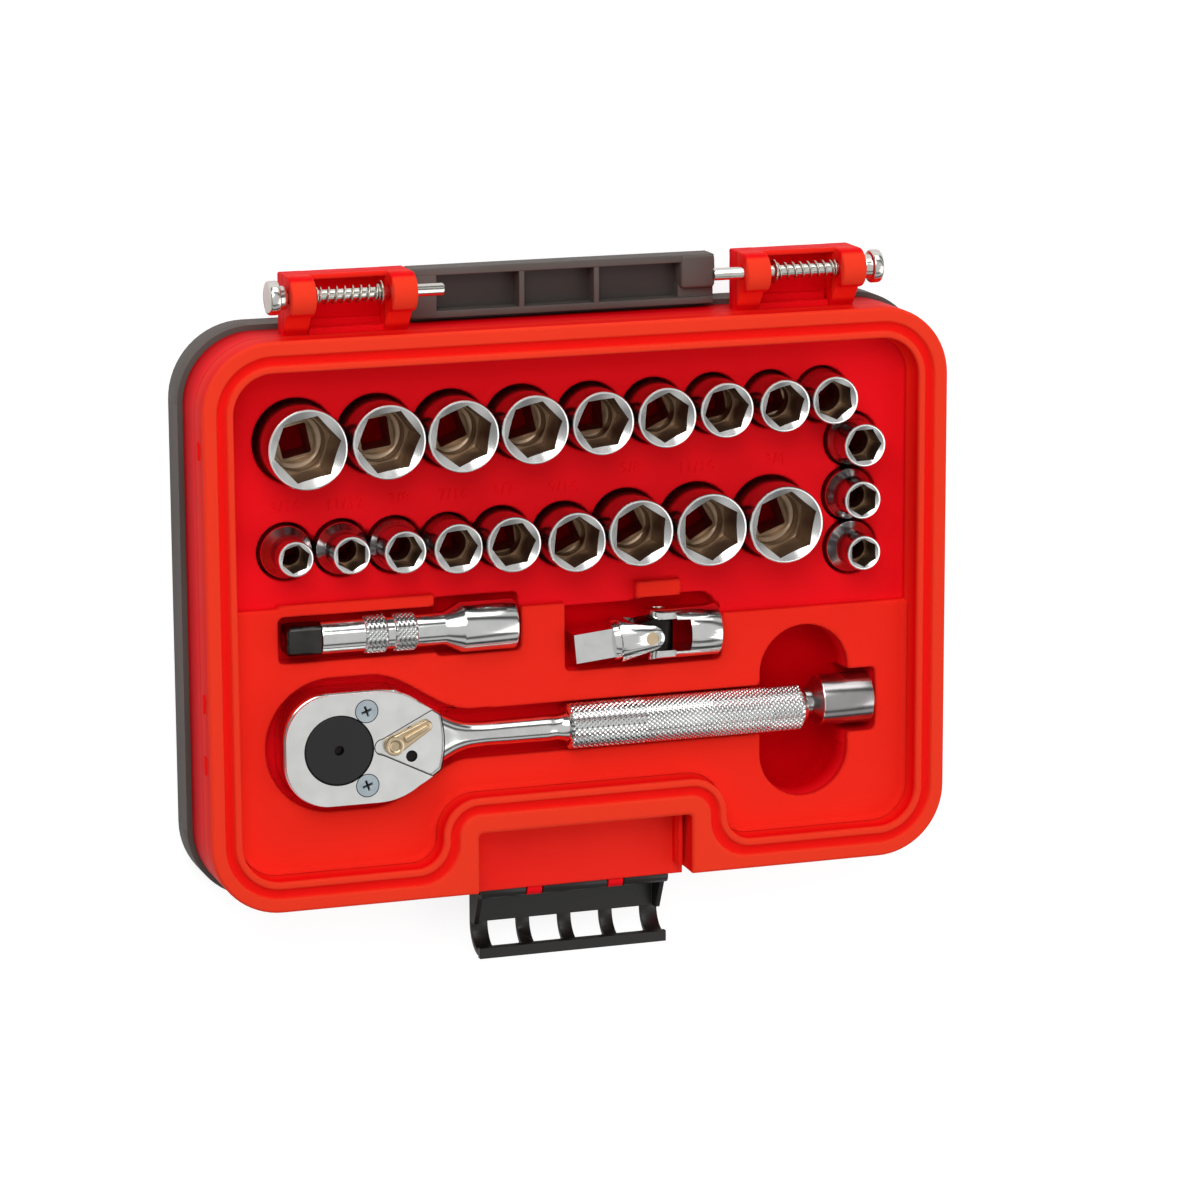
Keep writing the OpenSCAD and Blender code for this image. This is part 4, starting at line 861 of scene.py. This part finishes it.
COVER_Z = 37.1
HEAD_PROFILE = [(1.3, 25.0), (0.6, 25.2), (0.15, 25.65), (0.0, 26.3), (0.0, 36.3), (0.06, 36.7), (0.2, 36.95),
                (0.42, 37.08)]
head_rings = [edge_ring(head_distance, HEAD_X, g, z, HEAD_STEPS, 45.0) for g, z in HEAD_PROFILE]
# The hollow: radius of the gear's room and of the pawl's, and height
HOLLOW = [(12.4, 8.9, COVER_Z - 0.02), (12.1, 8.6, 36.8), (12.1, 8.6, 26.85), (7.75, 0, 26.85), (7.75, 0, 25.3),
          (8.0, 0, 25.0)]
head_rings += [hollow_ring(*row) for row in HOLLOW]
ratchet_head = capped("ratchet_head_forging", head_rings, chrome, "ratchet", sharp=30, loop=True)

HANDLE_Z, HANDLE_X0, HANDLE_X1, HANDLE_R = 31.6, -4.9, 77.6, 7.5
# Sections of the neck: place along X, half width, half height, middle's height, squareness
NECK = np.array([(-60, 15.6, 5.4, 31.0, 4.5), (-56, 13.5, 5.4, 31.1, 4.2), (-52, 11.1, 5.35, 31.15, 3.6),
                 (-48, 8.5, 5.1, 31.25, 3.0), (-45, 6.9, 4.8, 31.4, 2.6), (-42, 5.55, 4.5, 31.5, 2.3),
                 (-39, 4.65, 4.3, 31.57, 2.1), (-35, 4.25, 4.2, 31.6, 2.0), (-24, 4.25, 4.25, 31.6, 2.0),
                 (-12, 4.35, 4.35, 31.6, 2.0), (-6.2, 4.45, 4.45, 31.6, 2.0), (-5.2, 4.8, 4.8, 31.6, 2.0),
                 (-4.0, 5.4, 5.4, 31.6, 2.0)])


def smooth_rows(table, places):
    """Every column of a table against its first, through its rows, by cubics with the neighbours' slopes."""
    x, rest = table[:, 0], table[:, 1:]
    slope = np.gradient(rest, x, axis=0)
    at = np.clip(np.searchsorted(x, places, side="right") - 1, 0, len(x) - 2)
    gap = (x[at + 1] - x[at])[:, None]
    t = (places[:, None] - x[at][:, None]) / gap
    low, high = 1 - 3 * t ** 2 + 2 * t ** 3, 3 * t ** 2 - 2 * t ** 3
    rise, land = t - 2 * t ** 2 + t ** 3, t ** 3 - t ** 2
    return low * rest[at] + high * rest[at + 1] + gap * (rise * slope[at] + land * slope[at + 1])


def neck_piece():
    """Superellipses of changing width, height and squareness along X."""
    places = np.linspace(-60, -4, 90)
    around = np.linspace(0, 2 * np.pi, 80, endpoint=False)
    c, s = np.cos(around), np.sin(around)
    rings = []
    for x, (w, h, middle, p) in zip(places, smooth_rows(NECK, places)):
        reach = (np.abs(c) ** p + np.abs(s) ** p) ** (-1 / p)
        rings.append(np.stack([np.full(80, x), RATCHET_Y + w * reach * c, middle + h * reach * s], 1))
    return capped("ratchet_neck_forging", rings, chrome, "ratchet", sharp=60)


neck_piece()


def knurled(name, x0, x1, radius, depth, around, pitch, centre, material, body, ends):
    """A cylinder along X cut by two opposed sets of helical grooves, which leave rows of small pyramids.
    ends gives (length, drop) of the plain chamfer at either end."""
    steps = around * 4
    rows = int(round((x1 - x0) / pitch * 4))
    x, turn = np.meshgrid(np.linspace(x0, x1, rows + 1), np.linspace(0, 1, steps, endpoint=False),
                          indexing="ij")
    u, v = turn * around + (x - x0) / pitch, turn * around - (x - x0) / pitch

    def groove(phase):
        """A triangle wave between 0 and 1, of period 1."""
        return 1 - 2 * np.abs(phase - np.floor(phase) - 0.5)

    # Blunt pyramids: the tops are cut off at the full radius
    height = np.clip((1 - np.maximum(groove(u), groove(v))) * 1.6, 0, 1)
    (l0, d0), (l1, d1) = ends
    plain = np.minimum((x - x0) / l0 * d0 - d0, (x1 - x) / l1 * d1 - d1)
    r = radius + np.minimum(np.minimum(plain, 0), -depth * (1 - height))
    angle = 2 * np.pi * turn
    rings = np.stack([x, centre[0] + r * np.cos(angle), centre[1] + r * np.sin(angle)], -1)
    return capped(name, rings, material, body, sharp=30)


knurled("ratchet_handle_knurl", HANDLE_X0, HANDLE_X1, HANDLE_R, 0.5, 30, 1.78, (RATCHET_Y, HANDLE_Z),
        chrome, "ratchet", ((1.0, 1.0), (2.2, 1.9)))
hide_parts("ratchet_body")

# ---------------------------------------------------------------- ratchet: reversing lever
# A pressed and yellow-passivated lever on a round boss: an arm with a raised rib, a
# dished boss, and a stub that reaches down to the pawl.
LEVER_X, LEVER_TURN = -64.5, math.radians(28)


def teardrop(r0, r1, length, inset, height, shift=0.0):
    """Two circles of different radius and their common tangents, moved inwards, about the lever's pivot."""
    meet = math.acos((r0 - r1) / length)
    big = np.linspace(meet, 2 * np.pi - meet, 32)
    small = np.linspace(-meet, meet, 32)
    x = np.concatenate([(r0 - inset) * np.cos(big), length + (r1 - inset) * np.cos(small)]) + shift
    y = np.concatenate([(r0 - inset) * np.sin(big), (r1 - inset) * np.sin(small)])
    c, s = math.cos(LEVER_TURN), math.sin(LEVER_TURN)
    return np.stack([LEVER_X + c * x - s * y, RATCHET_Y + s * x + c * y, np.full(len(x), height)], 1)


ARM_EDGE = [(0.3, 37.65), (0.0, 37.8), (0.0, 38.55), (0.1, 38.75), (0.3, 38.9), (0.6, 38.95)]
arm = capped("reversing_lever_arm", [teardrop(3.1, 1.9, 12.2, g, z) for g, z in ARM_EDGE], brass_zinc,
             "ratchet_lever", sharp=40)
RIB_EDGE = [(-0.1, 38.7), (0.0, 39.0), (0.0, 39.55), (0.12, 39.78), (0.35, 39.88), (0.6, 39.9)]
capped("reversing_lever_rib", [teardrop(1.05, 0.8, 7.4, g, z, 4.6) for g, z in RIB_EDGE], brass_zinc,
       "ratchet_lever", sharp=40)
BOSS = [(1.8, 27.5), (1.8, 37.7), (3.05, 37.72), (3.1, 38.0), (3.1, 39.15), (3.0, 39.4), (2.7, 39.52),
        (2.2, 39.52), (1.9, 39.42), (1.55, 39.0), (0.8, 38.9), (0.1, 38.9)]
turned("reversing_lever_boss", BOSS, "Z", (LEVER_X, RATCHET_Y, 0), brass_zinc, "ratchet_lever")
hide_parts("reversing_lever")

# ---------------------------------------------------------------- ratchet: cover details
# The step round the lever's window is drawn as a thin dark line of painted shade; one stop dimple lies beside the
# lever, dark with painted shade, and the screws' cross recesses are dark at the bottom, also painted shade, as are
# the thin rings round the screws and the disc.


def window_distance(x, y):
    """Distance to the window's edge, negative inside: two straight sides from a round apex, and the head's
    round end."""
    y = np.abs(y)
    side = (y - 2.4) * 0.8944 - (x + 68.8) * 0.4472
    wedge = np.maximum(np.maximum(side, y - 10.8), -68.4 - x)
    wedge = np.minimum(wedge, np.hypot(x + 68.4, y) - 2.6)
    return np.maximum(wedge, head_distance(x, y) + 0.35)


WINDOW_X = -59.0
LINE_PROFILE = [(-0.02, 38.3), (-0.16, 38.52), (0.14, 38.52), (0.16, 38.3)]
window = [edge_ring(window_distance, WINDOW_X, g, z, turn_steps(160), 30.0) for g, z in LINE_PROFILE]
capped("lever_window_shade_line", window, dark_steel_and_shade, "ratchet", loop=True)
DIMPLE = [(1.2, 37.11), (1.85, 37.12), (1.85, 37.52), (1.6, 37.54), (1.45, 37.3), (0.1, 37.2)]
turned("lever_stop_dimple_shade", DIMPLE, "Z", (LEVER_X + 6, RATCHET_Y - 4, 0), dark_steel_and_shade, "ratchet")


def painted_shade_ring(name, x, y, section, steps):
    """A thin dark ring of painted shade let into the cover, from radii and heights round its section."""
    rings = [flat_ring(x, y, r, turn_steps(steps), z) for r, z in section]
    capped(name, rings, dark_steel_and_shade, "ratchet", loop=True)


SCREW_X, SCREW_SPREAD = -73.5, 12.15
CROSS_REACH, CROSS_HALF, CROSS_TURN = 1.75, 0.34, math.radians(20)
around = turn_steps(48)
u, v = (np.maximum(np.abs(f(around)), 1e-6) for f in (np.cos, np.sin))
arms = [np.minimum(CROSS_REACH / a, CROSS_HALF / b) for a, b in ((u, v), (v, u))]
cross = np.minimum(np.maximum(*arms), CROSS_REACH)
for side, word in ((-1, "lower"), (1, "upper")):
    y = RATCHET_Y + side * SCREW_SPREAD
    recess = [flat_ring(SCREW_X, y, cross, around + CROSS_TURN, z) for z in (37.72, 37.78)]
    capped(f"screw_recess_shade_{word}", recess, dark_steel_and_shade, "ratchet", sharp=30)
    painted_shade_ring(f"screw_gap_shade_{word}", SCREW_X, y, [(3.62, 38.42), (3.72, 38.53), (3.86, 38.53), (3.9, 38.42)], 64)
painted_shade_ring("disc_gap_shade", HEAD_X, RATCHET_Y, [(11.3, 38.4), (11.34, 38.52), (11.5, 38.52), (11.54, 38.4)], 120)

# ---------------------------------------------------------------- extension bar
# A drive square at the left, a polished shaft with two knurled grips, and a
# socket end with a drive hole at the right.
EXT_Y, EXT_Z = -5.0, 30.0


def rod_ring(radius, x):
    """One ring about the bar's axis, from radii at every step of the turn; the first step lies up."""
    angle, one = np.radians(AROUND), np.ones_like(AROUND)
    return np.stack([x * one, EXT_Y + radius * one * np.sin(angle), EXT_Z + radius * one * np.cos(angle)], 1)


male = square_hole(9.5, 0.75)
shaft = 5.45
female = square_hole(DRIVE_HOLE)
# Radius, and place in X
EXT_BANDS = [(male - 3.2, -98.0), (male - 0.95, -98.0), (male - 0.55, -97.85), (male - 0.15, -97.4),
             (male, -96.9), (male, -87.3), (np.minimum(male, shaft + 0.6), -86.9), (np.minimum(male, 5.1), -86.75),
             (shaft - 0.45, -86.7), (shaft - 0.1, -86.4), (shaft, -86.0), (shaft, -45.9), (shaft + 0.1, -45.4),
             (8.0, -40.1), (8.15, -39.7), (8.2, -39.2), (8.2, -22.7), (8.1, -22.3), (7.85, -22.06),
             (7.5, -22.0), (female + 0.5, -22.0), (female, -22.45), (female, -33.4), (female - 0.4, -33.5)]
rings = [rod_ring(radius, x) for radius, x in EXT_BANDS]
# The drive square is dark with painted shade, the shaft and the grip's body bright, the drive hole phosphated
extension = capped("extension_forging", rings, chrome, "extension", sharp=24,
                   slots=([hex_steel, painted_shade_chrome], [2] * 9 + [0] * 11 + [1] * 3))
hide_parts("extension_bar")
for word, x0 in (("left", -72.4), ("right", -62.6)):
    knurled(f"extension_{word}_knurl", x0, x0 + 7.5, 6.3, 0.5, 26, 1.5, (EXT_Y, EXT_Z), chrome, "extension",
            ((0.6, 0.6), (0.6, 0.6)))

# ---------------------------------------------------------------- lid: hinge channel
# The lid's half of the hinge, moulded with it: a channel between two solid ends that
# take the pins, parted by two ribs into three pockets so that the plastic cools evenly.
lid_plastic = grained_plastic("grey_polypropylene", "#5F5853", "#524C47", 0.5, 0.5, 0.03)
# A darker copy of the grey for the channel's floor: painted shade between its bars and ribs.
shaded_plastic = grained_plastic("grey_polypropylene_pocket_painted_shade", "#3E3733", "#352F2B", 0.5, 0.5, 0.03)
# Lowest and highest corner, and the round of the edges
CHANNEL = {
    "floor": ((-50.0, 93.6, 10.0), (50.0, 109.0, 12.2), 0.6),
    "front_bar": ((-51.0, 93.2, 10.0), (51.0, 95.6, 18.3), 0.5),
    "back_bar": ((-51.2, 106.9, 10.0), (51.2, 109.5, 18.6), 0.6),
    "left_rib": ((-15.1, 94.0, 10.5), (-13.2, 109.0, 18.3), 0.4),
    "right_rib": ((10.1, 94.0, 10.5), (12.0, 109.0, 18.3), 0.4),
    "left_end": ((-51.6, 93.4, 9.8), (-42.4, 109.4, 18.5), 0.9),
    "right_end": ((39.4, 98.2, 9.8), (51.6, 109.6, 19.4), 2.0),
    "right_foot": ((39.3, 93.4, 9.8), (51.6, 100.0, 16.6), 0.8),
}
for word, (low, high, edge) in CHANNEL.items():
    finish = shaded_plastic if word == "floor" else lid_plastic
    wall = rounded_box(f"lid_channel_{word}", low, high, edge, finish, "lid")
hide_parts("lid_barrel")

# ---------------------------------------------------------------- lid, latch, joint and small pieces
# Pieces whose built shape is kept: their edges are broken by a narrow round, and each
# gets its own finish.
latch_plastic = grained_plastic("black_acetal", "#1A1613", "#13100E", 0.4, 0.4, 0.02)
disc_black = grained_plastic("black_disc_coating", "#1C1A1B", "#151314", 0.55, 0.25, 0.02)


def dress(node, material, edge):
    """Gives a built piece its finish, and welds and rounds its edges."""
    piece = bpy.data.objects[node]
    piece.data.materials.clear()
    piece.data.materials.append(material)
    weld = piece.modifiers.new("weld", "WELD")
    weld.merge_threshold = 0.004 * MM
    if edge:
        rounding = piece.modifiers.new("edges", "BEVEL")
        rounding.width, rounding.segments = edge * MM, 2
        rounding.limit_method, rounding.angle_limit = "ANGLE", math.radians(32)
        rounding.use_clamp_overlap = rounding.harden_normals = True


for node, material, edge in (
        ("lid_shell", lid_plastic, 0.5), ("latch", latch_plastic, 0.3), ("latch_pin", dark_steel_and_shade, 0),
        ("ratchet_cover", satin_chrome, 0.12), ("cover_screws", zinc, 0.08), ("thumb_disc", disc_black, 0.12),
        ("drive_gear", dark_steel_and_shade, 0.1), ("ratchet_ball", chrome, 0), ("pawl", dark_steel_and_shade, 0.05),
        ("pawl_plunger", dark_steel_and_shade, 0), ("pawl_spring", spring_wire, 0), ("extension_ball", chrome, 0),
        ("joint_socket_yoke", chrome, 0.3), ("joint_centre_block", dark_steel_and_shade, 0.25),
        ("joint_drive_yoke", chrome, 0.3), ("joint_socket_pin", brass_zinc, 0.3),
        ("joint_drive_pin", brass_zinc, 0.3), ("joint_ball", chrome, 0)):
    dress(node, material, edge)

# ---------------------------------------------------------------- studio
# White paper under the case, a large soft box up beyond the hinge and to the left, and two weaker ones. The
# camera sees a white world, while the steel mirrors bright boxes with dark gaps between.


def soft_box(name, power, size, position):
    """A square area lamp of a power in watts and a size in millimetres, turned to look at the case."""
    data = bpy.data.lights.new(name, "AREA")
    data.energy, data.shape, data.size = power, "SQUARE", size * MM
    offset = np.array([0, 0, 20], float) - np.array(position, float)
    forward = offset / np.linalg.norm(offset)
    side = np.cross(forward, [0, 1, 0] if abs(forward[2]) > 0.9 else [0, 0, 1])
    side /= np.linalg.norm(side)
    lamp = put(name, data)
    lamp.matrix_world = Matrix(np.stack([side, np.cross(side, forward), -forward], 1).tolist()).to_4x4()
    lamp.matrix_world.translation = [v * MM for v in position]


soft_box("key_box", 9.0, 900, (-500, 900, 1100))
soft_box("fill_box", 3.5, 900, (900, -300, 900))
soft_box("rear_box", 2.5, 700, (200, 1200, 500))

world = bpy.data.worlds.new("studio")
bpy.context.scene.world = world
world.use_nodes = True
ground = world.node_tree.nodes["Background"]
ray = add(world, "ShaderNodeLightPath")
seen = add(world, "ShaderNodeMath", {"operation": "MAXIMUM"})
join(world, ray.outputs["Is Camera Ray"], seen.inputs[0])
join(world, ray.outputs["Is Transmission Ray"], seen.inputs[1])
level = add(world, "ShaderNodeMapRange", {"To Min": 0.62, "To Max": 1.0}, Value=seen.outputs[0])
join(world, level.outputs["Result"], ground.inputs["Strength"])
# Brightness of the mirrored world from below to straight above
stops = [(0.0, 0.9), (0.08, 0.75), (0.2, 0.06), (0.34, 0.06), (0.42, 0.95), (0.6, 0.9), (0.66, 0.12),
         (0.74, 0.12), (0.82, 1.0)]
direction = add(world, "ShaderNodeTexCoord").outputs["Generated"]
height = add(world, "ShaderNodeSeparateXYZ", Vector=direction).outputs["Z"]
sky = ramp(world, height, [(position, (tone, tone, tone, 1)) for position, tone in stops])
plain = add(world, "ShaderNodeMix", {"data_type": "RGBA", "B": (1, 1, 1, 1)})
join(world, seen.outputs[0], plain.inputs["Factor"])
join(world, sky.outputs["Color"], plain.inputs["A"])
join(world, plain.outputs["Result"], ground.inputs["Color"])

paper, shader = new_material("white_paper")
shader.inputs["Roughness"].default_value = 0.9
shader.inputs["Base Color"].default_value = (0.92, 0.92, 0.92, 1)
ray = add(paper, "ShaderNodeLightPath")
glow = add(paper, "ShaderNodeEmission", {"Color": (1, 1, 1, 1), "Strength": 1.35})
seen = add(paper, "ShaderNodeMath", {"operation": "MULTIPLY"})
join(paper, ray.outputs["Is Camera Ray"], seen.inputs[0])
seen.inputs[1].default_value = 0.6
mix = add(paper, "ShaderNodeMixShader")
for source, target in zip((seen, shader, glow), mix.inputs):
    join(paper, source.outputs[0], target)
join(paper, mix.outputs[0], paper.node_tree.nodes["Material Output"].inputs["Surface"])
floor_mesh = bpy.data.meshes.new("floor")
floor_mesh.from_pydata([(-3, -3, 0), (3, -3, 0), (3, 3, 0), (-3, 3, 0)], [], [(0, 1, 2, 3)])
floor_mesh.materials.append(paper)
floor = put("floor", floor_mesh)

bpy.context.scene.view_settings.view_transform = "Standard"
